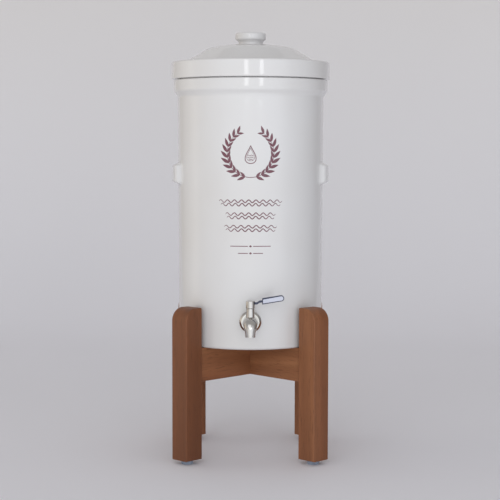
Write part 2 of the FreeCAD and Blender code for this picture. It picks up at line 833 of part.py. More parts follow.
def make_tap_inlet():
    """The threaded shank, with the plug that holds the seats in the tap's body."""
    body = new_body("tap_inlet")
    turned(body, [
        ("shank_bore", "shank_end"),
        ("shank_radius - glide_edge / 2", "shank_end"),
        ("shank_radius", "shank_end + glide_edge / 2"),
        ("shank_radius", "barrel_back + plug_length"),
        ("shank_bore", "barrel_back + plug_length"),
    ], "Shank")
    place(body, up="tap_level", turn=OUTWARD)
    return body


def spout_section(body, name, angle, radius):
    """A round section of the elbow, at an angle along its bend."""
    sketch = new_sketch(body, name, "XY_Plane")
    circle(sketch, "0", "0", radius)
    sketch.AttachmentOffset = FreeCAD.Placement(FreeCAD.Vector(0, 0, 0), rotation((1, 0, 0), angle))
    bind(sketch, "AttachmentOffset.Base.y", "-bend_radius * (1 - cos(%g))" % angle)
    bind(sketch, "AttachmentOffset.Base.z", "bend_reach + bend_radius * sin(%g)" % angle)
    return sketch


def make_tap_body():
    """Cast body: barrel with the valve chamber, tower for the stem, elbow and tapered spout."""
    body = new_body("tap_body")
    turned(body, [
        ("0", "barrel_back"),
        ("barrel_radius - barrel_edge", "barrel_back"),
        ("barrel_radius", "barrel_back + barrel_edge", "barrel_edge", 1),
        ("barrel_radius", "bend_reach"),
        ("0", "bend_reach"),
    ], "Barrel")
    bends = (0, 30, 60, 90)
    taper = "(barrel_radius - spout_end_radius)"
    share = "(bend_radius * %g * pi / 180 / (bend_radius * pi / 2 + spout_drop))"
    sections = [spout_section(body, "Bend%d" % angle, angle,
                              "barrel_radius - %s * %s" % (taper, share % angle)) for angle in bends]
    mouth = new_sketch(body, "SpoutMouth", "XZ_Plane", "bend_radius + spout_drop")
    circle(mouth, "0", "spout_reach", "spout_end_radius")
    doc.recompute()
    elbow = body.newObject("PartDesign::AdditiveLoft", "Elbow")
    elbow.Profile = sections[0]
    elbow.Sections = sections[1:] + [mouth]
    doc.recompute()
    tower = new_sketch(body, "TowerRound", "XZ_Plane")
    circle(tower, "0", "valve_reach", "tower_radius")
    pad(body, "Tower", tower, "tower_height", back=True)
    groove(body, [
        ("0", "barrel_back"),
        ("shank_radius + thread_gap", "barrel_back"),
        ("shank_radius + thread_gap", "barrel_back + plug_length"),
        ("valve_chamber_radius", "barrel_back + plug_length"),
        ("valve_chamber_radius", "valve_reach + seat_outer_reach"),
        ("0", "valve_reach + seat_outer_reach"),
    ], "ValveChamber")
    path = new_sketch(body, "WaterPath", "YZ_Plane")
    draw_water_path(path)
    round_bore = new_sketch(body, "WaterRound", "XY_Plane", "bend_reach")
    circle(round_bore, "0", "0", "spout_bore")
    doc.recompute()
    way = body.newObject("PartDesign::SubtractivePipe", "WaterWay")
    way.Profile = round_bore
    way.Spine = (path, ["Edge1", "Edge2"])
    doc.recompute()
    drill_tower(body)
    place(body, up="tap_level", turn=OUTWARD)
    return body


def draw_water_path(sketch):
    """The quarter bend and the straight run down to the spout's mouth, in the tap's upright plane."""
    start = FreeCAD.Vector(0, value("bend_reach"), 0)
    turn_point = FreeCAD.Vector(-value("bend_radius"), value("spout_reach"), 0)
    centre = FreeCAD.Vector(-value("bend_radius"), value("bend_reach"), 0)
    radius = value("bend_radius")
    middle = centre + FreeCAD.Vector(math.cos(math.pi / 4), math.sin(math.pi / 4), 0) * radius
    end = FreeCAD.Vector(-value("bend_radius + 2 * spout_drop"), value("spout_reach"), 0)
    sketch.addGeometry(Part.Arc(start, middle, turn_point), False)
    sketch.addGeometry(Part.LineSegment(turn_point, end), False)
    sketch.addConstraint(Sketcher.Constraint("Coincident", 0, 2, 1, 1))
    pin_point(sketch, 0, 1, "_start", "0", "bend_reach")
    pin_point(sketch, 0, 3, "_centre", "-bend_radius", "bend_reach")
    sketch.addConstraint(Sketcher.Constraint("DistanceX", 1, 1, 0, 3, 0.0))
    pin_point(sketch, 1, 2, "_end", "-bend_radius - 2 * spout_drop", "spout_reach")


def drill_tower(body):
    """Stem bore, collar recess and packing chamber, all about the tower's axis."""
    for name, radius, low, high in (
            ("StemBore", "stem_radius + stem_gap", "0", "hub_foot"),
            ("CollarRecess", "stem_collar_radius + stem_gap", "0",
             "stem_foot + stem_collar_height + tongue_gap"),
            ("PackingBore", "packing_radius + stem_gap", "packing_floor", "hub_foot")):
        sketch = new_sketch(body, name + "Round", "XZ_Plane", "-(%s)" % low)
        circle(sketch, "0", "valve_reach", radius)
        pocket(body, name, sketch, "%s - %s" % (high, low), back=False)


def make_seat(label, sign):
    """A plastic ring, hollowed to the ball."""
    body = new_body(label)
    reach_in = "seat_inner_reach * (%s1)" % sign
    reach_out = "seat_outer_reach * (%s1)" % sign
    low, high = (reach_out, reach_in) if sign == "-" else (reach_in, reach_out)
    turned(body, ring_steps("ball_bore", "valve_chamber_radius - seat_fit", low, high), "Ring")
    hollow = "ball_radius + ball_gap"
    groove(body, [
        ("0", "-(%s)" % hollow),
        (hollow, "0", hollow, 1),
        ("0", hollow, hollow, 1),
    ], "BallHollow")
    place(body, along="axis_shift - valve_reach", up="tap_level", turn=OUTWARD)
    return body


def make_ball():
    """The valve ball: a cross bore, closed at rest, and a slot on top for the stem's tongue."""
    body = new_body("valve_ball")
    turned(body, [
        ("0", "-ball_radius"),
        ("ball_radius", "0", "ball_radius", 1),
        ("0", "ball_radius", "ball_radius", 1),
    ], "Ball")
    bore = new_sketch(body, "BoreRound", "YZ_Plane")
    circle(bore, "0", "0", "ball_bore")
    pocket(body, "Bore", bore, "3 * ball_radius", middle=True)
    slot = new_sketch(body, "SlotOutline", "YZ_Plane")
    rectangle(slot, "-tongue_width / 2 - tongue_gap", "ball_radius - tongue_depth",
              "tongue_width / 2 + tongue_gap", "ball_radius + tongue_gap")
    pocket(body, "Slot", slot, "3 * ball_radius", middle=True)
    place(body, along="axis_shift - valve_reach", up="tap_level")
    return body


def make_stem():
    """The stem: tongue in the ball's slot, collar under the tower, round shaft and square drive."""
    body = new_body("valve_stem")
    turned(body, [
        ("0", "stem_foot"),
        ("stem_collar_radius", "stem_foot"),
        ("stem_collar_radius", "stem_foot + stem_collar_height"),
        ("stem_radius", "stem_foot + stem_collar_height"),
        ("stem_radius", "hub_foot"),
        ("0", "hub_foot"),
    ], "Shaft")
    tongue = new_sketch(body, "TongueOutline", "XY_Plane", "ball_radius - tongue_depth + tongue_gap")
    rectangle(tongue, "-tongue_length / 2", "-tongue_width / 2", "tongue_length / 2",
              "tongue_width / 2")
    pad(body, "Tongue", tongue, "stem_foot - ball_radius + tongue_depth")
    drive = new_sketch(body, "DriveOutline", "XY_Plane", "hub_foot")
    rectangle(drive, "-drive_width / 2", "-drive_width / 2", "drive_width / 2", "drive_width / 2")
    pad(body, "Drive", drive, "drive_length")
    tapped = new_sketch(body, "TappedRound", "XY_Plane", "drive_top")
    circle(tapped, "0", "0", "screw_radius + thread_gap")
    pocket(body, "TappedHole", tapped, "screw_length", back=False)
    place(body, along="axis_shift - valve_reach", up="tap_level")
    return body


def make_packing(name, level):
    body = new_body(name)
    turned(body, ring_steps("stem_radius + stem_gap", "packing_radius", level,
                            level + " + packing_height"))
    place(body, along="axis_shift - valve_reach", up="tap_level")
    return body


def make_gland():
    """The slotted gland nut that presses the packing down."""
    body = new_body("gland_nut")
    top = "tower_height - gland_sink"
    turned(body, ring_steps("stem_radius + stem_gap", "packing_radius", top + " - gland_height", top))
    slot = new_sketch(body, "SlotOutline", "XZ_Plane")
    rectangle(slot, "-gland_slot / 2", top + " - gland_slot", "gland_slot / 2", "tower_height")
    pocket(body, "Slot", slot, "4 * packing_radius", middle=True)
    place(body, along="axis_shift - valve_reach", up="tap_level")
    return body


def make_hub():
    """The lever's hub, over the stem's square, with a slot for the arm."""
    body = new_body("lever_hub")
    turned(body, [
        ("0", "hub_foot"),
        ("hub_radius - hub_edge", "hub_foot"),
        ("hub_radius", "hub_foot + hub_edge"),
        ("hub_radius", "hub_top - hub_edge"),
        ("hub_radius - hub_edge", "hub_top", "hub_edge", 1),
        ("0", "hub_top"),
    ], "Cap")
    square = new_sketch(body, "SquareOutline", "XY_Plane", "hub_foot")
    half = "drive_width / 2 + thread_gap"
    rectangle(square, "-(%s)" % half, "-(%s)" % half, half, half)
    pocket(body, "Square", square, "drive_length + glue_gap", back=True)
    through = new_sketch(body, "ScrewRound", "XY_Plane", "hub_top")
    circle(through, "0", "0", "screw_radius + thread_gap")
    pocket(body, "ScrewHole", through, "hub_height")
    head = new_sketch(body, "HeadRound", "XY_Plane", "hub_top")
    circle(head, "0", "0", "screw_head_radius + seal_gap")
    pocket(body, "HeadRecess", head, "screw_head_height")
    arm = new_sketch(body, "ArmOutline", "YZ_Plane", "arm_straight_reach")
    rectangle(arm, "-arm_thickness / 2 - glue_gap", "arm_foot - glue_gap",
              "arm_thickness / 2 + glue_gap", "arm_top + glue_gap")
    pocket(body, "ArmSlot", arm, "arm_root_depth + arm_step")
    place(body, along="axis_shift - valve_reach", up="tap_level")
    return body


def make_screw():
    body = new_body("hub_screw")
    foot = "hub_top - screw_head_height"
    turned(body, [
        ("0", foot + " - screw_length"),
        ("screw_radius", foot + " - screw_length"),
        ("screw_radius", foot),
        ("screw_head_radius", foot),
        ("screw_head_radius", foot + " + screw_head_height / 2"),
        ("screw_head_radius - screw_head_height / 2", foot + " + screw_head_height",
         "screw_head_height / 2", 1),
        ("0", foot + " + screw_head_height"),
    ])
    place(body, along="axis_shift - valve_reach", up="tap_level")
    return body


def make_lever():
    """The steel arm, the plastic grip over its end, and the pale plates let into the grip's sides."""
    arm = new_body("lever_arm")
    root = "hub_radius - arm_root_depth + glue_gap"
    tip = "grip_reach + arm_tongue"
    tip_rise = "arm_bend_rise + (%s - arm_bend_reach) * tan(arm_rise_angle)" % tip
    side = new_sketch(arm, "ArmOutline", "XZ_Plane")
    outline(side, [
        (root, "arm_foot"),
        ("arm_straight_reach", "arm_foot"),
        ("arm_bend_reach", "arm_foot + arm_bend_rise"),
        (tip, "arm_foot + " + tip_rise),
        (tip, "arm_top + " + tip_rise),
        ("arm_bend_reach", "arm_top + arm_bend_rise"),
        ("arm_straight_reach", "arm_top"),
        (root, "arm_top"),
    ])
    pad(arm, "Arm", side, "arm_thickness", middle=True)
    grip = new_body("lever_grip")
    shell = new_sketch(grip, "GripOutline", "XZ_Plane")
    lever_outline(shell, "0")
    pad(grip, "Grip", shell, "grip_thickness", middle=True)
    doc.recompute()
    thick = value("grip_thickness") / 2
    soften(grip, "GripRounds", "Fillet", "grip_round",
           lambda edge: near(abs(edge.BoundBox.YMin), thick) and near(edge.BoundBox.YLength, 0))
    sleeve = new_sketch(grip, "SleeveOutline", "XZ_Plane")
    mouth = "grip_reach - grip_round"
    mouth_rise = "arm_bend_rise + (%s - arm_bend_reach) * tan(arm_rise_angle)" % mouth
    outline(sleeve, [
        (mouth, "arm_foot - grip_fit + " + mouth_rise),
        (tip + " + grip_fit", "arm_foot - grip_fit + " + tip_rise),
        (tip + " + grip_fit", "arm_top + grip_fit + " + tip_rise),
        (mouth, "arm_top + grip_fit + " + mouth_rise),
    ])
    pocket(grip, "Sleeve", sleeve, "arm_thickness + 2 * grip_fit", middle=True)
    plates = []
    for name, lift, back in (("front", "grip_thickness / 2 - face_depth", False),
                             ("rear", "-grip_thickness / 2 + face_depth", True)):
        recess = new_sketch(grip, name.title() + "Recess", "XZ_Plane", lift)
        lever_outline(recess, "face_margin")
        pocket(grip, name.title() + "Inlay", recess, "2 * face_depth", back=not back)
        plate = new_body("Plate_" + name)
        inlay = new_sketch(plate, "PlateOutline", "XZ_Plane", lift)
        lever_outline(inlay, "(face_margin + grip_fit)")
        pad(plate, "Plate", inlay, "face_depth + face_proud", back=back)
        place(plate, along="axis_shift - valve_reach", up="tap_level")
        plates.append(plate)
    for piece in (arm, grip):
        place(piece, along="axis_shift - valve_reach", up="tap_level")
    return [arm, grip], plates


def lever_outline(sketch, inset):
    """The grip's side outline, or the same drawn in by an inset."""
    tip = "(grip_tip_height / 2 - %s)" % inset
    root = "grip_reach + %s" % inset
    shoulder = "grip_end - grip_tip_height / 2"
    outline(sketch, [
        (root, "grip_root_level - grip_root_height / 2 + %s" % inset),
        (shoulder, "grip_end_level - %s" % tip),
        ("grip_end - %s" % inset, "grip_end_level", tip, 1),
        (shoulder, "grip_end_level + %s" % tip, tip, 1),
        (root, "grip_root_level + grip_root_height / 2 - %s" % inset),
    ])


def build_stand():
    nodes = []
    nails = []
    dowels = []
    for corner, bearing in CORNERS.items():
        nodes.append(make_leg("leg_" + corner, bearing))
        nodes.append(make_glide("glide_" + corner, bearing))
        nails.append(make_nail("Nail_" + corner, bearing))
        dowels.append(make_dowel("DowelLow_" + corner, bearing, "-"))
        dowels.append(make_dowel("DowelHigh_" + corner, bearing, "+"))
    nodes.append(make_rail("rail_lower", 45, "rail_height / 2", "rail_height"))
    nodes.append(make_rail("rail_upper", 135, "0", "rail_height / 2"))
    nodes.append(group_of("glide_nails", nails))
    nodes.append(group_of("leg_dowels", dowels))
    return nodes


def build_vessel():
    nodes = [make_filter_body(), make_upper_chamber(), make_lid()]
    nodes += make_candle("left", "-")
    nodes += make_candle("right", "")
    return nodes


def build_tap():
    nodes = make_tap_fittings() + [make_tap_inlet(), make_tap_body()]
    nodes += [make_seat("seat_rear", "-"), make_seat("seat_front", "+")]
    nodes += [make_ball(), make_stem(), make_gland(), make_hub(), make_screw()]
    rings = [make_packing("PackingLow", "packing_floor"),
             make_packing("PackingHigh", "packing_floor + packing_pitch")]
    nodes.append(group_of("stem_packing", rings))
    lever, plates = make_lever()
    nodes += lever
    nodes.append(group_of("grip_faces", plates))
    return nodes


def check(nodes):
    """Stops if any object failed or any piece isn't a sound solid."""
    doc.recompute()
    for item in doc.Objects:
        if "Invalid" in item.State or "Error" in item.State:
            raise RuntimeError("%s in %s" % (item.State, item.Label))
    for node in nodes:
        shape = node.Shape
        if shape.isNull() or not shape.isValid() or not shape.Solids or shape.Volume <= 0:
            raise RuntimeError("unsound shape: " + node.Label)


def write(nodes):
    os.makedirs("parts", exist_ok=True)
    for node in nodes:
        node.Shape.exportStep("parts/%s.step" % node.Label)
        print("%-22s %2d solid(s) %12.1f mm3" % (node.Label, len(node.Shape.Solids),
                                                node.Shape.Volume))


all_nodes = build_stand() + build_vessel() + build_tap()
check(all_nodes)
write(all_nodes)
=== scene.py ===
import math

import bpy
from bpy.props import FloatProperty, FloatVectorProperty, IntProperty, PointerProperty
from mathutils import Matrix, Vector


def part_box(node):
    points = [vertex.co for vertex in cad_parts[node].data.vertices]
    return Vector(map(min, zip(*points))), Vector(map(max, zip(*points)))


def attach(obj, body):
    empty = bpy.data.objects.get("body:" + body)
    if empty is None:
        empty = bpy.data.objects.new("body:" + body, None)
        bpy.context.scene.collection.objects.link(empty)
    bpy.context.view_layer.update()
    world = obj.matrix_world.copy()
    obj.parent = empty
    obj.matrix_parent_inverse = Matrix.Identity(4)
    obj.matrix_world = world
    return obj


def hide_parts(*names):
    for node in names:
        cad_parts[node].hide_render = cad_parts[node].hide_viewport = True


bl_info = {
    "name": "Gravity water filter",
    "version": (1, 0, 0),
    "blender": (4, 5, 0),
    "location": "View3D > Sidebar > Water filter",
    "description": "Dresses a ceramic gravity water filter with a lever tap on its hardwood stand",
    "category": "Object",
}

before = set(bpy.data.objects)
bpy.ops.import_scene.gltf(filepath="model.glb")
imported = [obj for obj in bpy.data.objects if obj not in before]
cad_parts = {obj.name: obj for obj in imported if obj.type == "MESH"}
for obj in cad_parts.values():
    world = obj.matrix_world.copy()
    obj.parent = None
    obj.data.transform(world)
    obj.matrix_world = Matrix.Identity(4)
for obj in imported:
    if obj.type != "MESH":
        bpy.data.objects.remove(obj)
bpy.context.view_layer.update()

MM = 0.001
FULL_TURN = 2 * math.pi


def box_middle(node):
    low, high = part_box(node)
    return (low + high) / 2


VESSEL_AXIS = Vector((0.0, box_middle("lid").y, 0.0))
BODY_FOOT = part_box("filter_body")[0].z
RIM_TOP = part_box("filter_body")[1].z
TAP_LEVEL = box_middle("tap_collar").z
SHOULDER_LEVEL = RIM_TOP - 25.0 * MM
TOWER_FOOT = 10.0 * MM
HUB_REACH = 7.0 * MM
LEVER_SHARE = 0.944


class StageSizes(bpy.types.PropertyGroup):
    """The camera and the room round the filter."""
    camera_distance: FloatProperty(
        name="Camera distance", description="From the vessel's axis to the lens", default=2.2764,
        unit="LENGTH")
    camera_height: FloatProperty(
        name="Camera height", description="Lens above the floor", default=0.4878, unit="LENGTH")
    camera_side: FloatProperty(
        name="Camera offset", description="Lens to the right of the vessel's axis", default=-0.0007,
        unit="LENGTH")
    camera_pitch: FloatProperty(
        name="Camera pitch", description="Downward tilt", default=math.radians(4.148),
        subtype="ANGLE")
    camera_roll: FloatProperty(
        name="Camera roll", description="Turn about the line of sight", default=math.radians(0.1),
        subtype="ANGLE")
    camera_lens: FloatProperty(
        name="Lens", description="Focal length for a 36 mm frame, in millimetres", default=103.29)
    sheet_width: FloatProperty(
        name="Sheet width", description="Width of the paper sheet", default=3.0, unit="LENGTH")
    sheet_front: FloatProperty(
        name="Sheet front", description="From the vessel's axis to the sheet's front edge",
        default=0.45, unit="LENGTH")
    sheet_back: FloatProperty(
        name="Sheet back", description="From the vessel's axis to the backdrop", default=2.4,
        unit="LENGTH")
    sheet_height: FloatProperty(
        name="Sheet height", description="Height of the backdrop", default=3.2, unit="LENGTH")
    sweep_radius: FloatProperty(
        name="Sweep", description="Radius of the curve between floor and backdrop", default=1.2,
        unit="LENGTH")
    # Painted light and shade: the one paper sheet is brighter and cooler on the floor, and darker and
    # warmer up the backdrop.
    floor_paper_and_painted_light: FloatVectorProperty(
        name="Floor colour", description="Pale matt floor", default=(0.87, 0.865, 0.91), size=3,
        subtype="COLOR", min=0, max=1)
    backdrop_paper_and_painted_shade: FloatVectorProperty(
        name="Backdrop colour", description="Warmer paper higher up", default=(0.74, 0.715, 0.705),
        size=3, subtype="COLOR", min=0, max=1)
    sky_colour: FloatVectorProperty(
        name="Overhead light", description="Colour of the room above", default=(0.335, 0.33, 0.33),
        size=3, subtype="COLOR", min=0, max=1)
    seen_colour: FloatVectorProperty(
        name="Seen beyond the sheet", description="Pale colour where the camera looks past the paper",
        size=3, default=(0.42, 0.415, 0.425), subtype="COLOR", min=0, max=1)
    sky_strength: FloatProperty(
        name="Room light strength", description="Level of the light from all round", default=1.38, min=0)


class GlazeSizes(bpy.types.PropertyGroup):
    """The glazed vessel and lid."""
    base_radius: FloatProperty(
        name="Base radius", description="Outer radius at the foot", default=113.1 * MM, unit="LENGTH")
    shoulder_radius: FloatProperty(
        name="Shoulder radius", description="Outer radius under the rim", default=115.0 * MM,
        unit="LENGTH")
    wall: FloatProperty(
        name="Wall", description="Wall of the vessel", default=9.0 * MM, unit="LENGTH")
    segments: IntProperty(
        name="Segments", description="Steps round a turned piece", default=240, min=32)
    glaze_colour: FloatVectorProperty(
        name="Glaze colour", description="Warm white of the glaze", default=(0.70, 0.695, 0.70),
        size=3, subtype="COLOR", min=0, max=1)


class PrintSizes(bpy.types.PropertyGroup):
    """The printed ornament on the front."""
    ink_colour: FloatVectorProperty(
        name="Ink colour", description="Maroon of the print", default=(0.17, 0.065, 0.085), size=3,
        subtype="COLOR", min=0, max=1)
    ink_height: FloatProperty(
        name="Ink height", description="Thickness of the print on the glaze", default=0.12 * MM,
        unit="LENGTH")
    wreath_height: FloatProperty(
        name="Wreath height", description="Middle of the wreath above the floor", default=0.4765,
        unit="LENGTH")
    wreath_radius: FloatProperty(
        name="Wreath radius", description="Radius of the wreath's stem", default=0.036,
        unit="LENGTH")


class WoodColours(bpy.types.PropertyGroup):
    """The oiled hardwood of the stand."""
    dark: FloatVectorProperty(
        name="Dark grain", description="Colour of the dark grain", default=(0.165, 0.055, 0.0195),
        size=3, subtype="COLOR", min=0, max=1)
    middle: FloatVectorProperty(
        name="Wood", description="Main colour of the wood", default=(0.275, 0.098, 0.038), size=3,
        subtype="COLOR", min=0, max=1)
    light: FloatVectorProperty(
        name="Light grain", description="Colour of the light grain", default=(0.37, 0.154, 0.066),
        size=3, subtype="COLOR", min=0, max=1)


def deselect():
    if bpy.context.object is not None and bpy.context.object.mode != "OBJECT":
        bpy.ops.object.mode_set(mode="OBJECT")
    bpy.ops.object.select_all(action="DESELECT")


def choose(piece):
    deselect()
    piece.select_set(True)
    bpy.context.view_layer.objects.active = piece


def apply_modifier(piece, kind, name, **settings):
    """Adds a modifier, sets it up and applies it."""
    choose(piece)
    modifier = piece.modifiers.new(name, kind)
    for key, setting in settings.items():
        setattr(modifier, key, setting)
    bpy.ops.object.modifier_apply(modifier=modifier.name)


def settle(piece):
    """Moves a piece's place into its mesh."""
    choose(piece)
    bpy.ops.object.transform_apply(location=True, rotation=True, scale=True)


def smooth(piece, angle=40):
    choose(piece)
    bpy.ops.object.shade_smooth_by_angle(angle=math.radians(angle), keep_sharp_edges=False)


def wear(piece, material, body, slot, *nodes):
    """Gives a finished piece its material, its body and the nodes that it stands for; its slot is not
    used.
    """
    piece.data.materials.clear()
    piece.data.materials.append(material)
    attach(piece, body)
    if nodes:
        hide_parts(*nodes)
    return piece


def arc(centre, radius, start, end, count):
    """Points on an arc of a turned outline, from one angle in degrees to another."""
    points = []
    for step in range(count + 1):
        angle = math.radians(start + (end - start) * step / count)
        points.append((centre[0] + radius * math.cos(angle), centre[1] + radius * math.sin(angle)))
    return points


def run(start, end, count):
    """Points along a straight stretch of an outline, without its first."""
    return [(start[0] + (end[0] - start[0]) * step / count,
             start[1] + (end[1] - start[1]) * step / count) for step in range(1, count + 1)]


def soft_corner(start, corner, end, count=8):
    """A quadratic curve round a corner of an outline, without its first point."""
    points = []
    for step in range(1, count + 1):
        share = step / count
        one = (1 - share) ** 2
        two = 2 * share * (1 - share)
        three = share ** 2
        points.append((one * start[0] + two * corner[0] + three * end[0],
                       one * start[1] + two * corner[1] + three * end[1]))
    return points


def ease(amount):
    """1 up to nothing, 0 from one on, with an S-shaped slope between."""
    amount = min(1.0, max(0.0, amount))
    return 1 - amount * amount * (3 - 2 * amount)


def wall_radius(sizes, height):
    """Outer radius of the vessel's wall, which leans out slightly from foot to shoulder."""
    lean = (sizes.shoulder_radius - sizes.base_radius) / (SHOULDER_LEVEL - BODY_FOOT)
    return sizes.base_radius + lean * (height - BODY_FOOT)


def lathe(name, outline, segments):
    """Draws an outline of (radius, height) points by extruding one vertex, and spins it about the
    vessel's axis."""
    deselect()
    first = outline[0]
    bpy.ops.mesh.primitive_plane_add(size=MM, location=(first[0], VESSEL_AXIS.y, first[1]))
    piece = bpy.context.object
    piece.name = name
    settle(piece)
    bpy.ops.object.mode_set(mode="EDIT")
    bpy.ops.mesh.select_mode(type="VERT")
    bpy.ops.mesh.select_all(action="SELECT")
    bpy.ops.mesh.merge(type="CENTER")
    for before, after in zip(outline, outline[1:]):
        step = (after[0] - before[0], 0, after[1] - before[1])
        bpy.ops.mesh.extrude_region_move(TRANSFORM_OT_translate={"value": step})
    bpy.ops.mesh.select_all(action="SELECT")
    bpy.ops.mesh.spin(steps=segments, angle=FULL_TURN, center=VESSEL_AXIS, axis=(0, 0, 1))
    bpy.ops.mesh.select_all(action="SELECT")
    bpy.ops.mesh.remove_doubles(threshold=0.02 * MM)
    bpy.ops.mesh.select_all(action="SELECT")
    bpy.ops.mesh.normals_make_consistent(inside=False)
    bpy.ops.object.mode_set(mode="OBJECT")
    return piece


def smooth_copy(node, angle):
    """A copy of a solid with its loose triangles merged and its rounds shaded smooth."""
    deselect()
    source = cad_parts[node]
    piece = source.copy()
    piece.data = source.data.copy()
    piece.name = node + "_finished"
    for key in list(piece.keys()):
        del piece[key]
    piece.parent = None
    bpy.context.scene.collection.objects.link(piece)
    piece.matrix_world.identity()
    choose(piece)
    bpy.ops.object.mode_set(mode="EDIT")
    bpy.ops.mesh.select_all(action="SELECT")
    bpy.ops.mesh.remove_doubles(threshold=0.001 * MM)
    bpy.ops.object.mode_set(mode="OBJECT")
    bpy.ops.mesh.customdata_custom_splitnormals_clear()
    smooth(piece, angle)
    apply_modifier(piece, "WEIGHTED_NORMAL", "EvenShading", keep_sharp=True, weight=80)
    return piece


def dress(node, finish, body, slot, *reshapes, angle=35):
    """Puts a smooth copy of a solid in its place, reshaped where the photograph asks for it."""
    piece = smooth_copy(node, angle)
    for reshape in reshapes:
        reshape(piece)
    return wear(piece, finish, body, slot, node)


def new_finish(name):
    """An empty material with its shader and its object coordinates."""
    material = bpy.data.materials.new(name)
    material.use_nodes = True
    tree = material.node_tree
    shader = tree.nodes["Principled BSDF"]
    return material, tree, shader, tree.nodes.new("ShaderNodeTexCoord").outputs["Object"]


def add_node(tree, kind, **inputs):
    """Adds a shading node and fills its inputs, each with a constant or another node's output."""
    node = tree.nodes.new("ShaderNode" + kind)
    for name, amount in inputs.items():
        socket = node.inputs[name.replace("_", " ")]
        if isinstance(amount, bpy.types.NodeSocket):
            tree.links.new(amount, socket)
        else:
            socket.default_value = amount
    return node


def mapped(tree, coordinates, scale=(1, 1, 1), turn=0.0, offset=(0, 0, 0)):
    return add_node(tree, "Mapping", Vector=coordinates, Scale=scale, Rotation=(0, 0, turn),
                    Location=offset).outputs["Vector"]


def noise(tree, coordinates, scale, detail=3.0, roughness=0.5, distortion=0.0):
    return add_node(tree, "TexNoise", Vector=coordinates, Scale=scale, Detail=detail,
                    Roughness=roughness, Distortion=distortion).outputs["Fac"]


def ramp(tree, amount, *stops):
    """A colour ramp through (position, colour) stops."""
    blend = tree.nodes.new("ShaderNodeValToRGB")
    band = blend.color_ramp
    while len(band.elements) < len(stops):
        band.elements.new(0.5)
    for element, (position, colour) in zip(band.elements, stops):
        element.position = position
        element.color = (*colour, 1)
    tree.links.new(amount, blend.inputs["Fac"])
    return blend.outputs["Color"]


def span(tree, amount, low, high, start=0.0, end=1.0):
    """Maps a pattern, from 0 to 1 unless told otherwise, onto a range."""
    return add_node(tree, "MapRange", Value=amount, From_Min=start, From_Max=end, To_Min=low,
                    To_Max=high).outputs["Result"]


def blended(tree, amount, one, other, mode="MIX"):
    mix = tree.nodes.new("ShaderNodeMix")
    mix.data_type = "RGBA"
    mix.blend_type = mode
    for socket, source in (("Factor", amount), ("A", one), ("B", other)):
        target = next(item for item in mix.inputs if item.name == socket and item.enabled)
        if isinstance(source, (int, float)):
            target.default_value = source
        elif isinstance(source, tuple):
            target.default_value = (*source, 1)
        else:
            tree.links.new(source, target)
    return next(item for item in mix.outputs if item.enabled)


def bumped(tree, shader, height, strength, distance, under=None):
    bump = add_node(tree, "Bump", Strength=strength, Distance=distance, Height=height)
    if under is not None:
        tree.links.new(under, bump.inputs["Normal"])
    tree.links.new(bump.outputs["Normal"], shader.inputs["Normal"])
    return bump.outputs["Normal"]


finishes = {}


def glaze_finish():
    """White glaze: faint warm clouding, and slow upright ripples that bend its reflections."""
    if "glaze" in finishes:
        return finishes["glaze"]
    colour = tuple(bpy.context.scene.glaze_sizes.glaze_colour)
    material, tree, shader, place = new_finish("white_glaze_gloss")
    cloud = noise(tree, place, 7.0, 2.0)
    pale = tuple(min(1, part * 1.03) for part in colour)
    deep = tuple(part * scale for part, scale in zip(colour, (0.985, 0.97, 0.95)))
    tint = ramp(tree, cloud, (0.3, deep), (0.7, pale))
    tree.links.new(tint, shader.inputs["Base Color"])
    tree.links.new(span(tree, noise(tree, place, 30.0), 0.05, 0.12), shader.inputs["Roughness"])
    shader.inputs["IOR"].default_value = 1.5
    shader.inputs["Coat Weight"].default_value = 0.35
    shader.inputs["Coat Roughness"].default_value = 0.04
    ripples = noise(tree, mapped(tree, place, (1, 1, 0.16)), 26.0, 1.5)
    first = bumped(tree, shader, ripples, 0.35, 0.8 * MM)
    orange_peel = noise(tree, place, 160.0, 1.0)
    bumped(tree, shader, orange_peel, 0.12, 0.1 * MM, first)
    finishes["glaze"] = material
    return material


def wood_finish(name, turn=0.0, upright=True, seed=0.0):
    """Oiled hardwood: long grain, growth bands, open pores, worn satin sheen."""
    colours = bpy.context.scene.wood_colours
    material, tree, shader, place = new_finish(name)
    offset = (seed, seed * 0.7, seed * 1.3)
    turned_place = mapped(tree, place, (1, 1, 1), turn, offset)
    along = (1, 1, 0.07) if upright else (0.07, 1, 1)
    grain_place = mapped(tree, turned_place, along)
    warp = noise(tree, grain_place, 9.0, 2.0)
    bands = add_node(tree, "TexWave", Vector=grain_place, Scale=22.0, Distortion=7.0, Detail=3.0,
                     Detail_Scale=1.4)
    bands.wave_type = "BANDS"
    bands.bands_direction = "DIAGONAL"
    fibre = noise(tree, grain_place, 130.0, 6.0, 0.65)
    shade = ramp(tree, warp, (0.32, tuple(colours.dark)), (0.5, tuple(colours.middle)),
                 (0.68, tuple(colours.light)))
    ringed = blended(tree, span(tree, bands.outputs["Fac"], 0.0, 0.3), shade, tuple(colours.dark))
    fibred = blended(tree, 0.4, ringed, ramp(tree, fibre, (0.3, (0.62, 0.6, 0.58)),
                                             (0.7, (1.0, 1.0, 1.0))), "MULTIPLY")
    pores_place = mapped(tree, turned_place, (1, 1, 0.05) if upright else (0.05, 1, 1))
    pores = noise(tree, pores_place, 900.0, 2.0, 0.6)
    pore_mask = ramp(tree, pores, (0.33, (0.5, 0.5, 0.5)), (0.42, (0, 0, 0)))
    pored = blended(tree, pore_mask, fibred, tuple(part * 0.5 for part in colours.dark))
    tree.links.new(pored, shader.inputs["Base Color"])
    tree.links.new(span(tree, fibre, 0.42, 0.62), shader.inputs["Roughness"])
    shader.inputs["Specular IOR Level"].default_value = 0.4
    first = bumped(tree, shader, fibre, 0.25, 0.15 * MM)
    bumped(tree, shader, pores, 0.2, 0.1 * MM, first)
    return material


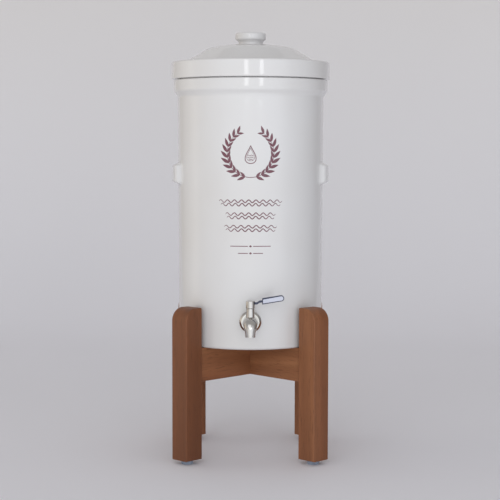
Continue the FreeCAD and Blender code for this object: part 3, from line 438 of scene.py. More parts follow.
def steel_finish():
    """Polished stainless steel with a fine satin drift."""
    if "steel" in finishes:
        return finishes["steel"]
    material, tree, shader, place = new_finish("polished_steel_bright")
    drift = noise(tree, place, 90.0, 4.0, 0.6)
    tint = ramp(tree, drift, (0.25, (0.53, 0.505, 0.475)), (0.75, (0.62, 0.605, 0.585)))
    tree.links.new(tint, shader.inputs["Base Color"])
    shader.inputs["Metallic"].default_value = 1.0
    tree.links.new(span(tree, drift, 0.05, 0.12), shader.inputs["Roughness"])
    scratches = noise(tree, mapped(tree, place, (1, 1, 0.1)), 900.0, 2.0)
    bumped(tree, shader, scratches, 0.08, 0.02 * MM)
    finishes["steel"] = material
    return material


def plain_finish(name, colour, roughness, drift_scale=60.0, variation=0.06, grain=400.0,
                 grain_depth=0.02, **sockets):
    """Moulded or bare material: slight drift of colour and sheen, fine grain."""
    if name in finishes:
        return finishes[name]
    material, tree, shader, place = new_finish(name)
    drift = noise(tree, place, drift_scale, 3.0)
    low = tuple(part * (1 - variation) for part in colour)
    high = tuple(min(1, part * (1 + variation)) for part in colour)
    tree.links.new(ramp(tree, drift, (0.3, low), (0.7, high)), shader.inputs["Base Color"])
    tree.links.new(span(tree, drift, roughness * 0.85, roughness * 1.15), shader.inputs["Roughness"])
    for socket, amount in sockets.items():
        shader.inputs[socket.replace("_", " ")].default_value = amount
    bumped(tree, shader, noise(tree, place, grain, 2.0), 0.2, grain_depth * MM)
    finishes[name] = material
    return material


def pale_rubber():
    return plain_finish("seal_rubber_pale", (0.72, 0.71, 0.68), 0.6, grain=900.0)


def stage_surface(name, low_colour, high_colour):
    """Matt paper whose colour turns with height from the floor's to the backdrop's: painted light and
    shade, brighter and cooler low, darker and warmer higher up.
    """
    material, tree, shader, place = new_finish(name)
    parts = add_node(tree, "SeparateXYZ", Vector=place)
    # Painted light and shade: the paper darkens and warms with height.
    tone = blended(tree, ramp(tree, parts.outputs["Z"], (0.0, (0, 0, 0)), (1.0, (1, 1, 1))),
                   low_colour, high_colour)
    patch = ramp(tree, noise(tree, place, 1.2, 2.0), (0.3, (0.985, 0.985, 0.985)), (0.7, (1, 1, 1)))
    tree.links.new(blended(tree, 1.0, tone, patch, "MULTIPLY"), shader.inputs["Base Color"])
    shader.inputs["Roughness"].default_value = 0.9
    shader.inputs["Specular IOR Level"].default_value = 0.15
    return material


class FILTER_OT_stage(bpy.types.Operator):
    """Lays the floor and backdrop, hangs the lamps and sets the camera"""
    bl_idname = "filter.stage"
    bl_label = "Stage"

    ROOM = (
        (-180, (0.59, 0.57, 0.56)),
        (-136, (0.36, 0.33, 0.30)),
        (-115, (0.57, 0.53, 0.47)),
        (-97, (0.86, 0.79, 0.69)),
        (-85, (0.55, 0.50, 0.44)),
        (-72, (0.48, 0.44, 0.40)),
        (-50, (0.54, 0.52, 0.51)),
        (-30, (0.78, 0.80, 0.82)),
        (0, (0.96, 0.99, 1.0)),
        (25, (0.90, 0.93, 1.0)),
        (45, (0.78, 0.80, 0.85)),
        (62, (0.34, 0.34, 0.36)),
        (97, (0.16, 0.15, 0.15)),
        (126, (0.14, 0.13, 0.13)),
        (150, (0.41, 0.40, 0.42)),
        (180, (0.59, 0.57, 0.56)),
    )
    AIM_HEIGHT = 0.35
    LAMPS = (
        ("window_left", (-0.325, -3.0, 1.125), (0.30, 1.0), 3.0, (0.97, 0.98, 1.0)),
        ("window_right", (0.80, -2.95, 1.125), (0.30, 1.0), 3.0, (0.97, 0.98, 1.0)),
        ("front_high", (-0.6, -2.6, 2.2), (2.4, 1.6), 9.0, (0.94, 0.965, 1.0)),
    )

    def execute(self, context):
        sizes = context.scene.stage_sizes
        self.lay_floor(sizes)
        self.light_room(context, sizes)
        self.hang_lamps()
        self.set_camera(context, sizes)
        return {"FINISHED"}

    def lay_floor(self, sizes):
        """One sheet of paper: table, a wide sweep, and the backdrop."""
        deselect()
        deep = sizes.sheet_front + sizes.sheet_back
        bpy.ops.mesh.primitive_plane_add(
            size=1, location=(0, VESSEL_AXIS.y + (sizes.sheet_back - sizes.sheet_front) / 2, 0))
        sheet = bpy.context.object
        sheet.name = "studio_sweep"
        sheet.scale = (sizes.sheet_width, deep, 1)
        settle(sheet)
        self.pick_back_edges(sheet, sizes)
        bpy.ops.mesh.extrude_region_move(
            TRANSFORM_OT_translate={"value": (0, 0, sizes.sheet_height)})
        bpy.ops.object.mode_set(mode="OBJECT")
        self.pick_back_edges(sheet, sizes)
        bpy.ops.mesh.bevel(offset=sizes.sweep_radius, segments=24, affect="EDGES")
        bpy.ops.object.mode_set(mode="OBJECT")
        smooth(sheet, 60)
        paper = stage_surface("studio_paper", tuple(sizes.floor_paper_and_painted_light), tuple(sizes.backdrop_paper_and_painted_shade))
        sheet.data.materials.append(paper)

    def pick_back_edges(self, sheet, sizes):
        """Selects the sheet's rear edge on the floor and enters edit mode."""
        choose(sheet)
        bpy.ops.object.mode_set(mode="EDIT")
        bpy.ops.mesh.select_mode(type="EDGE")
        bpy.ops.mesh.select_all(action="DESELECT")
        bpy.ops.object.mode_set(mode="OBJECT")
        for edge in sheet.data.edges:
            ends = [sheet.data.vertices[index].co for index in edge.vertices]
            edge.select = all(end.y > sizes.sheet_back / 2 and end.z < MM for end in ends)
        bpy.ops.object.mode_set(mode="EDIT")

    def light_room(self, context, sizes):
        """Light by bearing: bright in front, warm on the left, dim on the right, and a plain pale
        tone where the camera looks past the sheet."""
        world = bpy.data.worlds.new("soft_room")
        context.scene.world = world
        world.use_nodes = True
        tree = world.node_tree
        direction = add_node(tree, "TexCoord").outputs["Generated"]
        parts = add_node(tree, "SeparateXYZ", Vector=direction)
        bearing = add_node(tree, "Math")
        bearing.operation = "ARCTAN2"
        tree.links.new(parts.outputs["X"], bearing.inputs[0])
        away = add_node(tree, "Math")
        away.operation = "MULTIPLY"
        away.inputs[1].default_value = -1.0
        tree.links.new(parts.outputs["Y"], away.inputs[0])
        tree.links.new(away.outputs["Value"], bearing.inputs[1])
        share = span(tree, bearing.outputs["Value"], 0.0, 1.0, -math.pi, math.pi)
        around = ramp(tree, share, *[((degrees + 180) / 360, colour) for degrees, colour in self.ROOM])
        overhead = ramp(tree, parts.outputs["Z"], (0.15, (0, 0, 0)), (0.75, (1, 1, 1)))
        above = blended(tree, overhead, around, tuple(sizes.sky_colour))
        seen = add_node(tree, "LightPath").outputs["Is Camera Ray"]
        light = blended(tree, seen, above, tuple(sizes.seen_colour))
        background = tree.nodes["Background"]
        tree.links.new(light, background.inputs["Color"])
        background.inputs["Strength"].default_value = sizes.sky_strength

    def hang_lamps(self):
        """Two tall windows behind the camera, and a soft light high in front."""
        aim = Vector((0, VESSEL_AXIS.y, self.AIM_HEIGHT))
        for name, place, (width, height), power, colour in self.LAMPS:
            light = bpy.data.lights.new(name, "AREA")
            light.shape = "RECTANGLE"
            light.size = width
            light.size_y = height
            light.energy = power
            light.color = colour
            lamp = bpy.data.objects.new(name, light)
            bpy.context.scene.collection.objects.link(lamp)
            lamp.location = place
            target = aim if name == "front_high" else Vector((0, VESSEL_AXIS.y, place[2]))
            lamp.rotation_euler = (target - lamp.location).to_track_quat("-Z", "Y").to_euler()

    def set_camera(self, context, sizes):
        lens = bpy.data.cameras.new("portrait_camera")
        lens.lens = sizes.camera_lens
        lens.sensor_width = 36.0
        camera = bpy.data.objects.new("portrait_camera", lens)
        context.scene.collection.objects.link(camera)
        camera.location = (sizes.camera_side, VESSEL_AXIS.y - sizes.camera_distance,
                           sizes.camera_height)
        camera.rotation_mode = "ZXY"
        camera.rotation_euler = (math.pi / 2 - sizes.camera_pitch, 0, sizes.camera_roll)
        context.scene.camera = camera
        context.scene.view_settings.view_transform = "Standard"


class FILTER_OT_vessel(bpy.types.Operator):
    """Turns the glazed vessel and raises its two side lugs"""
    bl_idname = "filter.vessel"
    bl_label = "Vessel"

    FLOOR = 12.0 * MM
    FOOT_ROUND = 4.0 * MM
    FOOT_WIDTH = 10.0 * MM
    FOOT_RECESS = 3.0 * MM
    SMALL_ROUND = 1.0 * MM
    FOOT_EASE = 0.6 * MM
    COVE = 14.0 * MM
    RIM_HEIGHT = 17.0 * MM
    RIM_EDGE = 1.4 * MM
    BEVEL_EASE = 3.0 * MM
    RIM_EASE = (2.0 * MM, 2.4 * MM, 3.5 * MM)
    MOUTH_RADIUS = 112.5 * MM
    LEDGE = 9.0 * MM
    LUG_MIDDLE = 266.5 * MM
    LUG_ZONE = 22.0 * MM
    LUG_SKIN = 2.0 * MM
    LUG_REACH = 9.2 * MM
    LUG_HALF_HEIGHT = 11.6 * MM
    LUG_SLOPE = 6.6 * MM
    LUG_HALF_ANGLE = math.radians(22.0)
    LUG_END = math.radians(4.2)
    TAP_HOLE_RADIUS = 8.6 * MM
    DRILL_LENGTH = 60.0 * MM

    def execute(self, context):
        sizes = context.scene.glaze_sizes
        piece = lathe("vessel_body", self.outline(sizes), sizes.segments)
        self.raise_lugs(piece, sizes)
        self.drill_tap_hole(piece, sizes)
        smooth(piece, 50)
        wear(piece, glaze_finish(), "vessel", "white_glaze", "filter_body")
        return {"FINISHED"}

    def outline(self, sizes):
        """From the middle of the underside, up the outside, over the rim and down inside."""
        foot = BODY_FOOT
        rim_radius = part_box("filter_body")[1].y - VESSEL_AXIS.y
        inner_foot = sizes.base_radius - sizes.wall
        inner_shoulder = sizes.shoulder_radius - sizes.wall
        ring = sizes.base_radius - self.FOOT_ROUND - self.FOOT_WIDTH
        small = self.SMALL_ROUND
        points = [(0.0, foot + self.FOOT_RECESS)]
        points += run(points[-1], (ring - small, foot + self.FOOT_RECESS), 4)
        points += arc((ring - small, foot + self.FOOT_RECESS - small), small, 90, 0, 3)[1:]
        points += [(ring, foot + self.FOOT_EASE), (ring + self.FOOT_EASE, foot)]
        points += [(ring + self.FOOT_WIDTH, foot)]
        points += arc((sizes.base_radius - self.FOOT_ROUND, foot + self.FOOT_ROUND),
                      self.FOOT_ROUND, -80, 0, 8)
        lug_low = foot + self.LUG_MIDDLE - self.LUG_ZONE
        lug_high = foot + self.LUG_MIDDLE + self.LUG_ZONE
        bevel_start = SHOULDER_LEVEL - self.BEVEL_EASE
        points += self.wall_run(sizes, points[-1][1], lug_low, 24)
        points += self.wall_run(sizes, lug_low, lug_high, 40)
        points += self.wall_run(sizes, lug_high, bevel_start, 14)
        rim_foot = RIM_TOP - self.RIM_HEIGHT
        inward, below, above = self.RIM_EASE
        bevel_end = (rim_radius - inward, rim_foot - below)
        points += soft_corner((sizes.shoulder_radius, bevel_start),
                              (sizes.shoulder_radius, SHOULDER_LEVEL), bevel_end)
        points += soft_corner(bevel_end, (rim_radius, rim_foot), (rim_radius, rim_foot + above))
        edge = self.RIM_EDGE
        points += run(points[-1], (rim_radius, RIM_TOP - edge), 6)
        points += arc((rim_radius - edge, RIM_TOP - edge), edge, 0, 90, 8)[1:]
        points += [(self.MOUTH_RADIUS + small, RIM_TOP), (self.MOUTH_RADIUS, RIM_TOP - small)]
        points += [(self.MOUTH_RADIUS, RIM_TOP - self.LEDGE)]
        points += [(inner_shoulder + small, RIM_TOP - self.LEDGE)]
        points += [(inner_shoulder, RIM_TOP - self.LEDGE - small)]
        cove_top = foot + self.FLOOR + self.COVE
        points += run(points[-1], (inner_foot, cove_top), 24)
        points += arc((inner_foot - self.COVE, cove_top), self.COVE, 0, -90, 8)[1:]
        points += run(points[-1], (0.0, foot + self.FLOOR), 6)
        return points

    def wall_run(self, sizes, low, high, count):
        """The outer wall between two heights, without its first point."""
        heights = [low + (high - low) * step / count for step in range(1, count + 1)]
        return [(wall_radius(sizes, height), height) for height in heights]

    def raise_lugs(self, piece, sizes):
        """Moves the outer wall outwards into two lugs, left and right, with soft slip-cast edges."""
        middle = BODY_FOOT + self.LUG_MIDDLE
        for vertex in piece.data.vertices:
            spot = vertex.co - VESSEL_AXIS
            radius = math.hypot(spot.x, spot.y)
            outer = radius >= sizes.base_radius - self.LUG_SKIN
            if not outer or abs(spot.z - middle) > self.LUG_ZONE:
                continue
            swing = abs(math.atan2(spot.y, abs(spot.x)))
            up = ease((abs(spot.z - middle) - self.LUG_HALF_HEIGHT) / self.LUG_SLOPE)
            along = ease((swing - self.LUG_HALF_ANGLE + self.LUG_END) / self.LUG_END)
            lift = self.LUG_REACH * up * along
            vertex.co.x += lift * spot.x / radius
            vertex.co.y += lift * spot.y / radius

    def drill_tap_hole(self, piece, sizes):
        deselect()
        wall_middle = sizes.base_radius - sizes.wall / 2
        bpy.ops.mesh.primitive_cylinder_add(
            vertices=48, radius=self.TAP_HOLE_RADIUS, depth=self.DRILL_LENGTH,
            location=(0, VESSEL_AXIS.y - wall_middle, TAP_LEVEL), rotation=(math.pi / 2, 0, 0))
        drill = bpy.context.object
        settle(drill)
        apply_modifier(piece, "BOOLEAN", "TapHole", operation="DIFFERENCE", object=drill,
                       solver="EXACT")
        bpy.data.objects.remove(drill)


class FILTER_OT_lid(bpy.types.Operator):
    """Turns the domed lid with its knob"""
    bl_idname = "filter.lid"
    bl_label = "Lid"

    SEAT_RADIUS = 116.8 * MM
    SEAT_INNER = 110.0 * MM
    SHADOW = 1.5 * MM
    BRIM = 28.4 * MM
    WALL = 8.0 * MM
    LOW_EDGE = 1.1 * MM
    HIGH_EDGE = 3.0 * MM
    DOME_FOOT = 103.5 * MM
    SLOPE_RUN = 31.0 * MM
    SLOPE_ANGLE = 31.0
    CROWN_ANGLE = 12.0
    CREST_ANGLE = 1.0
    DOME_ROUND = 37.0 * MM
    CROWN_ROUND = 213.0 * MM
    SPIGOT_OUTER = 93.5 * MM
    SPIGOT_INNER = 86.5 * MM
    SPIGOT_DEPTH = 8.0 * MM
    KNOB_RADIUS = 24.3 * MM
    NECK_RADIUS = 18.9 * MM
    NECK_RISE = 2.2 * MM
    FLARE_RISE = 6.4 * MM
    FLARE_PULL = (0.8 * MM, 3.4 * MM)
    BAND_BACK = (1.2 * MM, 1.6 * MM)
    BAND_TURN = (0.4 * MM, 1.2 * MM)
    KNOB_EDGE = 3.6 * MM
    KNOB_DOME = 0.5 * MM
    SPIGOT_ROUND = 1.5 * MM
    INNER_ROUND = 2.0 * MM
    SEAT_BEVEL = 1.0 * MM
    SEAT_EASE = 0.6 * MM
    FOOT_SWEEP = 4.0 * MM

    def execute(self, context):
        segments = context.scene.glaze_sizes.segments
        piece = lathe("lid_domed", self.outline(), segments)
        smooth(piece, 50)
        wear(piece, glaze_finish(), "lid", "white_glaze", "lid")
        return {"FINISHED"}

    def outline(self):
        """From the middle of the dome's underside, round the ring and band, up to the knob's top."""
        seat = RIM_TOP
        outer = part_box("lid")[1].x
        brim = seat + self.BRIM
        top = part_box("lid")[1].z
        slope = math.radians(self.SLOPE_ANGLE)
        crown = math.radians(self.CROWN_ANGLE)
        crest = math.radians(self.CREST_ANGLE)
        slope_top = (self.DOME_FOOT - self.SLOPE_RUN, brim + self.SLOPE_RUN * math.tan(slope))
        dome_middle = (slope_top[0] - self.DOME_ROUND * math.sin(slope),
                       slope_top[1] - self.DOME_ROUND * math.cos(slope))
        crown_edge = (dome_middle[0] + self.DOME_ROUND * math.sin(crown),
                      dome_middle[1] + self.DOME_ROUND * math.cos(crown))
        crown_middle = (crown_edge[0] - self.CROWN_ROUND * math.sin(crown),
                        crown_edge[1] - self.CROWN_ROUND * math.cos(crown))
        crest_spot = (crown_middle[0] + self.CROWN_ROUND * math.sin(crest),
                      crown_middle[1] + self.CROWN_ROUND * math.cos(crest))
        under_foot = brim - self.WALL / math.cos(slope)
        under_foot += (self.DOME_FOOT - self.SPIGOT_INNER) * math.tan(slope)
        points = [(0.0, crown_middle[1] + self.CROWN_ROUND - self.WALL)]
        points += run(points[-1], (crown_middle[0], points[-1][1]), 2)
        points += arc(crown_middle, self.CROWN_ROUND - self.WALL, 90, 90 - self.CROWN_ANGLE, 8)[1:]
        points += arc(dome_middle, self.DOME_ROUND - self.WALL, 90 - self.CROWN_ANGLE,
                      90 - self.SLOPE_ANGLE, 6)[1:]
        points += run(points[-1], (self.SPIGOT_INNER, under_foot), 4)
        points += [(self.SPIGOT_INNER, seat - self.SPIGOT_DEPTH + self.SEAT_BEVEL)]
        low_round = self.SPIGOT_ROUND
        low = seat - self.SPIGOT_DEPTH + low_round
        points += arc((self.SPIGOT_INNER + low_round, low), low_round, 180, 270, 4)[1:]
        points += arc((self.SPIGOT_OUTER - low_round, low), low_round, 270, 360, 4)
        high_round = self.INNER_ROUND
        high = brim - self.WALL - high_round
        points += [(self.SPIGOT_OUTER, high)]
        points += arc((self.SPIGOT_OUTER + high_round, high), high_round, 180, 90, 4)[1:]
        points += arc((self.SEAT_INNER - high_round, high), high_round, 90, 0, 4)
        points += [(self.SEAT_INNER, seat + self.SEAT_BEVEL)]
        points += [(self.SEAT_INNER + self.SEAT_BEVEL, seat)]
        points += [(self.SEAT_RADIUS - self.SEAT_EASE, seat), (self.SEAT_RADIUS, seat + self.SEAT_EASE)]
        points += [(self.SEAT_RADIUS, seat + self.SHADOW)]
        low = seat + self.SHADOW + self.LOW_EDGE
        points += arc((outer - self.LOW_EDGE, low), self.LOW_EDGE, -90, 0, 8)
        points += run(points[-1], (outer, brim - self.HIGH_EDGE), 8)
        points += arc((outer - self.HIGH_EDGE, brim - self.HIGH_EDGE), self.HIGH_EDGE, 0, 90, 10)[1:]
        points += run(points[-1], (self.DOME_FOOT + self.FOOT_SWEEP, brim), 4)
        points += self.soft_foot(brim, slope)
        points += run(points[-1], slope_top, 8)
        points += arc(dome_middle, self.DOME_ROUND, 90 - self.SLOPE_ANGLE, 90 - self.CROWN_ANGLE, 8)[1:]
        points += arc(crown_middle, self.CROWN_ROUND, 90 - self.CROWN_ANGLE, 90 - self.CREST_ANGLE,
                      12)[1:]
        points += self.knob(crest_spot, top)
        return points

    def soft_foot(self, brim, slope):
        """The glazed hollow where the dome rises from the brim."""
        reach = self.FOOT_SWEEP
        start = (self.DOME_FOOT + reach, brim)
        corner = (self.DOME_FOOT, brim)
        end = (self.DOME_FOOT - reach * math.cos(slope), brim + reach * math.sin(slope))
        return soft_corner(start, corner, end, 6)

    def knob(self, crest, top):
        """Neck, flared underside, upright band, rounded top edge and slightly domed top."""
        edge = self.KNOB_EDGE
        edge_foot = top - edge - self.KNOB_DOME
        neck_top = crest[1] + self.NECK_RISE
        band_foot = neck_top + self.FLARE_RISE
        pull_out, pull_up = self.FLARE_PULL
        back, under = self.BAND_BACK
        below, above = self.BAND_TURN
        points = soft_corner(crest, (self.NECK_RADIUS + 0.2 * MM, crest[1] + 0.1 * MM),
                             (self.NECK_RADIUS, neck_top), 5)
        points += soft_corner(points[-1], (self.NECK_RADIUS + pull_out, neck_top + pull_up),
                              (self.KNOB_RADIUS - back, band_foot - under), 6)
        points += soft_corner(points[-1], (self.KNOB_RADIUS, band_foot - below),
                              (self.KNOB_RADIUS, band_foot + above), 5)
        points += run(points[-1], (self.KNOB_RADIUS, edge_foot), 3)
        points += arc((self.KNOB_RADIUS - edge, edge_foot), edge, 0, 80, 9)[1:]
        points += soft_corner(points[-1], (self.KNOB_RADIUS / 2, top), (0.0, top), 6)
        return points


class FILTER_OT_print(bpy.types.Operator):
    """Lays the maroon ornament on the front: a leaf wreath with a water drop, and wave lines"""
    bl_idname = "filter.ornament"
    bl_label = "Ornament"

    LEAVES = 11
    LEAF_LENGTH = 15.5 * MM
    LEAF_WIDTH = 5.0 * MM
    STEM_WIDTH = 0.9 * MM
    LEAF_TIP = 0.15 * MM
    LEAF_LEANS = ((-0.62, 1.0), (0.55, 0.8))
    OPEN_ANGLE = math.radians(30.0)
    DROP_HEIGHT = 27.0 * MM
    DROP_BREADTH = 0.45
    DROP_DIP = 1.5 * MM
    DROP_LINES = ((1.0, 1.3 * MM), (0.72, 0.6 * MM))
    RIPPLES = ((-1.5 * MM, 5.0 * MM), (-4.6 * MM, 5.4 * MM), (-7.6 * MM, 3.8 * MM))
    RIPPLE_HEIGHT = 0.7 * MM
    RIPPLE_WIDTH = 0.9 * MM
    WAVE_HEIGHT = 2.0 * MM
    WAVES = ((0.402, 49.0 * MM, 9), (0.3825, 38.5 * MM, 7), (0.3635, 40.5 * MM, 7))
    RULES = ((0.3365, 31.0 * MM), (0.3258, 19.0 * MM))
    LINE_WIDTH = 1.15 * MM
    PAIR_GAP = 2.6 * MM
    LOZENGE = 2.4 * MM
    LOZENGE_WIDTH = 3.4 * MM
    RULE_GAP = 4.0 * MM
    INK_GAP = 0.02 * MM

    def execute(self, context):
        sizes = context.scene.print_sizes
        shapes = self.wreath(sizes) + self.drop(sizes) + self.waves() + self.rules()
        piece = self.join(shapes)
        self.lay_on_wall(context, piece, sizes)
        ink = plain_finish("maroon_ink", tuple(sizes.ink_colour), 0.22, 120.0, 0.12, 700.0, 0.01)
        wear(piece, ink, "vessel", "white_glaze")
        return {"FINISHED"}

    def ribbon(self, path, width_at):
        """A flat strip along a path of (x, z) points, made from a grid and laid out row by row."""
        deselect()
        bpy.ops.mesh.primitive_grid_add(x_subdivisions=len(path) - 1, y_subdivisions=2, size=2)
        strip = bpy.context.object
        count = len(path)
        for vertex in strip.data.vertices:
            column = min(count - 1, max(0, round((vertex.co.x + 1) / 2 * (count - 1))))
            before = Vector(path[max(0, column - 1)])
            after = Vector(path[min(count - 1, column + 1)])
            along = (after - before).normalized()
            side = Vector((-along.y, along.x))
            spot = Vector(path[column]) + side * (vertex.co.y * width_at(column / (count - 1)) / 2)
            vertex.co = (spot.x, -0.3, spot.y)
        return strip

    def leaf(self, root, angle, length, width):
        """A pointed leaf from its root, leaning at an angle."""
        tip = (root[0] + math.cos(angle) * length, root[1] + math.sin(angle) * length)
        return self.ribbon([root] + run(root, tip, 10),
                           lambda share: self.LEAF_TIP + width * math.sin(math.pi * share ** 0.8))

    def wreath(self, sizes):
        shapes = []
        middle = sizes.wreath_height
        for side in (-1, 1):
            stem = []
            for step in range(41):
                angle = -math.pi / 2 + (math.pi - self.OPEN_ANGLE) * step / 40
                stem.append((side * sizes.wreath_radius * math.cos(angle),
                             middle + sizes.wreath_radius * math.sin(angle)))
            shapes.append(self.ribbon(stem, lambda share: self.STEM_WIDTH * (1.2 - 0.7 * share)))
            for number in range(self.LEAVES):
                share = (number + 1.0) / (self.LEAVES + 0.3)
                angle = -math.pi / 2 + (math.pi - self.OPEN_ANGLE) * share
                root = (side * sizes.wreath_radius * math.cos(angle),
                        middle + sizes.wreath_radius * math.sin(angle))
                growth = 1.0 - 0.35 * abs(share - 0.45)
                for lean, size in self.LEAF_LEANS:
                    along = angle + math.pi / 2 + lean
                    if side < 0:
                        along = math.pi - along
                    scale = growth * size
                    shapes.append(self.leaf(root, along, self.LEAF_LENGTH * scale,
                                            self.LEAF_WIDTH * scale))
        return shapes

    def drop(self, sizes):
        """A water drop in outline, with a smaller one and three ripples inside it."""
        middle = sizes.wreath_height - self.DROP_DIP
        shapes = []
        for scale, width in self.DROP_LINES:
            path = []
            for step in range(61):
                turn = FULL_TURN * step / 60
                pinch = math.sin(turn / 2) ** 1.7
                path.append((-self.DROP_HEIGHT * self.DROP_BREADTH * scale * math.sin(turn) * pinch,
                             middle + self.DROP_HEIGHT / 2 * scale * math.cos(turn)))
            shapes.append(self.ribbon(path, lambda share, wide=width: wide))
        for level, half in self.RIPPLES:
            shapes.append(self.wave_line(middle + level, half, 2, self.RIPPLE_HEIGHT,
                                         self.RIPPLE_WIDTH))
        return shapes

    def wave_line(self, height, half, crests, amplitude, width):
        count = crests * 16
        path = [(-half + 2 * half * step / count,
                 height + amplitude * math.sin(FULL_TURN * crests * step / count))
                for step in range(count + 1)]
        return self.ribbon(path, lambda share: width * (0.35 + 0.65 * math.sin(math.pi * share) ** 0.4))

    def waves(self):
        """Three rows of rippling water, each a pair of lines."""
        shapes = []
        for height, half, crests in self.WAVES:
            for offset, reach in ((self.PAIR_GAP, 1.0), (-self.PAIR_GAP, 0.94)):
                shapes.append(self.wave_line(height + offset, half * reach, crests,
                                             self.WAVE_HEIGHT, self.LINE_WIDTH * 1.4))
        return shapes

    def rules(self):
        """Two thin rules, each with a lozenge in its middle."""
        shapes = []
        for height, half in self.RULES:
            for side in (-1, 1):
                near = (side * self.RULE_GAP, height)
                path = [near] + run(near, (side * half, height), 12)
                shapes.append(self.ribbon(path, lambda share: self.LINE_WIDTH))
            left = (-self.LOZENGE, height)
            path = [left] + run(left, (self.LOZENGE, height), 8)
            shapes.append(self.ribbon(path, self.lozenge_width))
        return shapes

    def lozenge_width(self, share):
        return self.LOZENGE_WIDTH * (1 - abs(2 * share - 1)) + 0.1 * MM

    def join(self, shapes):
        deselect()
        for shape in shapes:
            shape.select_set(True)
        bpy.context.view_layer.objects.active = shapes[0]
        bpy.ops.object.join()
        piece = bpy.context.object
        piece.name = "front_ornament"
        settle(piece)
        return piece

    def lay_on_wall(self, context, piece, sizes):
        """Sets each point on the wall and gives the ink its thickness."""
        for vertex in piece.data.vertices:
            radius = wall_radius(context.scene.glaze_sizes, vertex.co.z) + self.INK_GAP
            bearing = vertex.co.x / radius
            vertex.co.x = radius * math.sin(bearing)
            vertex.co.y = VESSEL_AXIS.y - radius * math.cos(bearing)
        bpy.ops.object.mode_set(mode="EDIT")
        bpy.ops.mesh.select_all(action="SELECT")
        bpy.ops.mesh.normals_make_consistent(inside=False)
        bpy.ops.object.mode_set(mode="OBJECT")
        for polygon in piece.data.polygons:
            polygon.select = polygon.normal.dot(polygon.center - VESSEL_AXIS) < 0
        bpy.ops.object.mode_set(mode="EDIT")
        bpy.ops.mesh.flip_normals()
        bpy.ops.object.mode_set(mode="OBJECT")
        apply_modifier(piece, "SOLIDIFY", "InkThickness", thickness=sizes.ink_height, offset=1.0)


class FILTER_OT_tap(bpy.types.Operator):
    """Finishes the polished tap and its seals"""
    bl_idname = "filter.tap"
    bl_label = "Tap"

    STEEL = ("tap_collar", "tap_inlet", "back_nut", "back_washer", "gland_nut")
    LIP = 1.0 * MM
    ELBOW_SWELL = 0.16
    SWELL_REACH = 0.6
    MOUTH_DRAW = 0.05
    DRAW_REACH = 0.7

    def execute(self, context):
        dress("tap_body", steel_finish(), "vessel", "polished_steel", self.swell_elbow, shorten_lever)
        for node in self.STEEL:
            dress(node, steel_finish(), "vessel", "polished_steel", shorten_lever)
        for node in ("outer_seal", "inner_seal"):
            dress(node, pale_rubber(), "vessel", "seal_rubber")
        white = plain_finish("seat_plastic_white", (0.85, 0.85, 0.82), 0.35)
        for node in ("seat_rear", "seat_front", "stem_packing"):
            dress(node, white, "vessel", "seat_plastic", shorten_lever)
        return {"FINISHED"}

    def swell_elbow(self, piece):
        """Broadens the elbow's shoulders and draws the spout in towards its mouth."""
        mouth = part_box("tap_body")[0].z
        lip = [vertex.co.y for vertex in piece.data.vertices if vertex.co.z < mouth + self.LIP]
        spout_y = (min(lip) + max(lip)) / 2
        for vertex in piece.data.vertices:
            share = (vertex.co.z - mouth) / (TAP_LEVEL - mouth)
            swell = self.ELBOW_SWELL * ease(abs(share - 1) / self.SWELL_REACH)
            draw = self.MOUTH_DRAW * max(0, 1 - share / self.DRAW_REACH)
            vertex.co.x *= 1 + swell - draw
            vertex.co.y = spout_y + (vertex.co.y - spout_y) * (1 - draw)


def shorten_lever(piece):
    """Lowers what stands above the tower's foot, and draws in what reaches past the hub."""
    foot = TAP_LEVEL + TOWER_FOOT
    hub_edge = box_middle("lever_hub").x + HUB_REACH
    for vertex in piece.data.vertices:
        if vertex.co.z > foot:
            vertex.co.z = foot + (vertex.co.z - foot) * LEVER_SHARE
            if vertex.co.x > hub_edge:
                vertex.co.x = hub_edge + (vertex.co.x - hub_edge) * LEVER_SHARE


class FILTER_OT_lever(bpy.types.Operator):
    """Finishes the lever, its neck in the grip's dark blue as a painted dark reflection, its grip, and
    the valve that it turns
    """
    bl_idname = "filter.lever"
    bl_label = "Lever"

    STEEL = ("lever_hub", "valve_stem", "valve_ball", "hub_screw")
    GRIP_RISE = 5.0 * MM
    END_HALF_DEPTH = 4.3 * MM
    NECK_GAIN = 0.42

    def execute(self, context):
        for node in self.STEEL:
            dress(node, steel_finish(), "lever", "polished_steel", shorten_lever)
        grip = plain_finish("dark_blue_grip_and_painted_neck_reflection", (0.028, 0.034, 0.075), 0.3)
        # The neck wears the grip's dark blue as a painted reflection: the polished neck only looks dark
        # where it mirrors a dark room.
        dress("lever_arm", grip, "lever", "grip_plastic", shorten_lever)
        dress("lever_grip", grip, "lever", "grip_plastic", self.fill_out_grip, shorten_lever)
        face = plain_finish("grip_pale_plate", (0.60, 0.62, 0.72), 0.22)
        dress("grip_faces", face, "lever", "face_plastic", self.fill_out_grip, shorten_lever)
        return {"FINISHED"}

    def fill_out_grip(self, piece):
        """Makes the grip nearly as deep at the neck as at its round end."""
        low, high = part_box("lever_grip")
        slope = self.GRIP_RISE / (high.x - low.x)
        end_middle = high.z - self.END_HALF_DEPTH
        for vertex in piece.data.vertices:
            from_end = high.x - vertex.co.x
            middle = end_middle - slope * from_end
            gain = 1 + self.NECK_GAIN * from_end / (high.x - low.x)
            vertex.co.z = middle + (vertex.co.z - middle) * gain


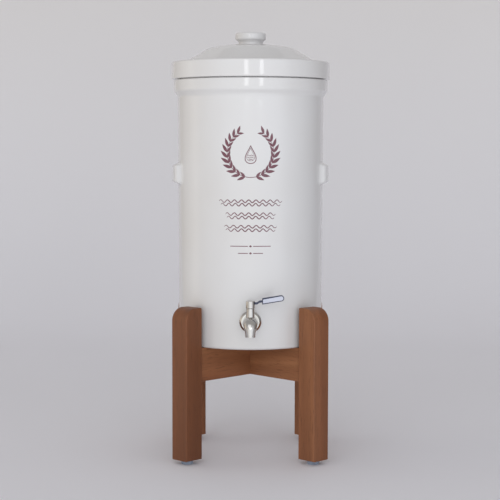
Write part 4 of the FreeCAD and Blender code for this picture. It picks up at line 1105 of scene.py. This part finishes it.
class FILTER_OT_stand(bpy.types.Operator):
    """Finishes the hardwood legs, the crossed rails and the glides"""
    bl_idname = "filter.stand"
    bl_label = "Stand"

    CORNERS = (("front_left", 225), ("front_right", 315), ("back_right", 45), ("back_left", 135))

    def execute(self, context):
        glide = plain_finish("glide_blue_grey", (0.36, 0.43, 0.54), 0.3, Transmission_Weight=0.15)
        for number, (corner, bearing) in enumerate(self.CORNERS):
            turn = math.radians(-bearing)
            wood = wood_finish("oiled_wood_leg_" + corner, turn, True, 0.37 * (number + 1))
            dress("leg_" + corner, wood, "stand", "oiled_wood")
            dress("glide_" + corner, glide, "stand", "glide_plastic")
        for number, (node, bearing) in enumerate((("rail_lower", 45), ("rail_upper", 135))):
            wood = wood_finish("oiled_wood_" + node, math.radians(-bearing), False,
                               2.1 + 0.53 * number)
            dress(node, wood, "stand", "oiled_wood")
        dowel = wood_finish("dowel_wood_plain", 0.0, True, 4.0)
        dress("leg_dowels", dowel, "stand", "dowel_wood")
        nail = plain_finish("nail_bright", (0.6, 0.6, 0.6), 0.3, Metallic=1.0)
        dress("glide_nails", nail, "stand", "plated_steel")
        return {"FINISHED"}


class FILTER_OT_chamber(bpy.types.Operator):
    """Finishes the upper chamber and its filter candles"""
    bl_idname = "filter.chamber"
    bl_label = "Upper chamber"

    def execute(self, context):
        dress("upper_chamber", glaze_finish(), "chamber", "white_glaze", angle=50)
        shell = plain_finish("porous_ceramic", (0.82, 0.79, 0.73), 0.85, 25.0, 0.05, 1500.0, 0.06)
        mount = plain_finish("mount_plastic_white", (0.80, 0.80, 0.77), 0.35)
        for side in ("left", "right"):
            for part, finish, slot in (("candle_shell_", shell, "candle_ceramic"),
                                       ("candle_mount_", mount, "mount_plastic"),
                                       ("wing_nut_", mount, "mount_plastic"),
                                       ("candle_seal_", pale_rubber(), "seal_rubber")):
                dress(part + side, finish, "chamber", slot)
        return {"FINISHED"}


OPERATORS = (
    FILTER_OT_stage,
    FILTER_OT_vessel,
    FILTER_OT_lid,
    FILTER_OT_print,
    FILTER_OT_chamber,
    FILTER_OT_tap,
    FILTER_OT_lever,
    FILTER_OT_stand,
)

GROUPS = (
    ("stage_sizes", StageSizes),
    ("glaze_sizes", GlazeSizes),
    ("print_sizes", PrintSizes),
    ("wood_colours", WoodColours),
)


class FILTER_PT_panel(bpy.types.Panel):
    """Lists the filter's operators and sizes"""
    bl_idname = "FILTER_PT_panel"
    bl_label = "Water filter"
    bl_space_type = "VIEW_3D"
    bl_region_type = "UI"
    bl_category = "Water filter"

    def draw(self, context):
        for operator in OPERATORS:
            self.layout.operator(operator.bl_idname)
        for name, group in GROUPS:
            box = self.layout.box()
            for prop in group.__annotations__:
                box.prop(getattr(context.scene, name), prop)


def register():
    for name, group in GROUPS:
        bpy.utils.register_class(group)
        setattr(bpy.types.Scene, name, PointerProperty(type=group))
    for operator in OPERATORS:
        bpy.utils.register_class(operator)
    bpy.utils.register_class(FILTER_PT_panel)


def unregister():
    bpy.utils.unregister_class(FILTER_PT_panel)
    for operator in reversed(OPERATORS):
        bpy.utils.unregister_class(operator)
    for name, group in reversed(GROUPS):
        delattr(bpy.types.Scene, name)
        bpy.utils.unregister_class(group)


def main():
    register()
    bpy.ops.filter.stage()
    bpy.ops.filter.vessel()
    bpy.ops.filter.lid()
    bpy.ops.filter.ornament()
    bpy.ops.filter.chamber()
    bpy.ops.filter.tap()
    bpy.ops.filter.lever()
    bpy.ops.filter.stand()


if __name__ == "__main__":
    main()
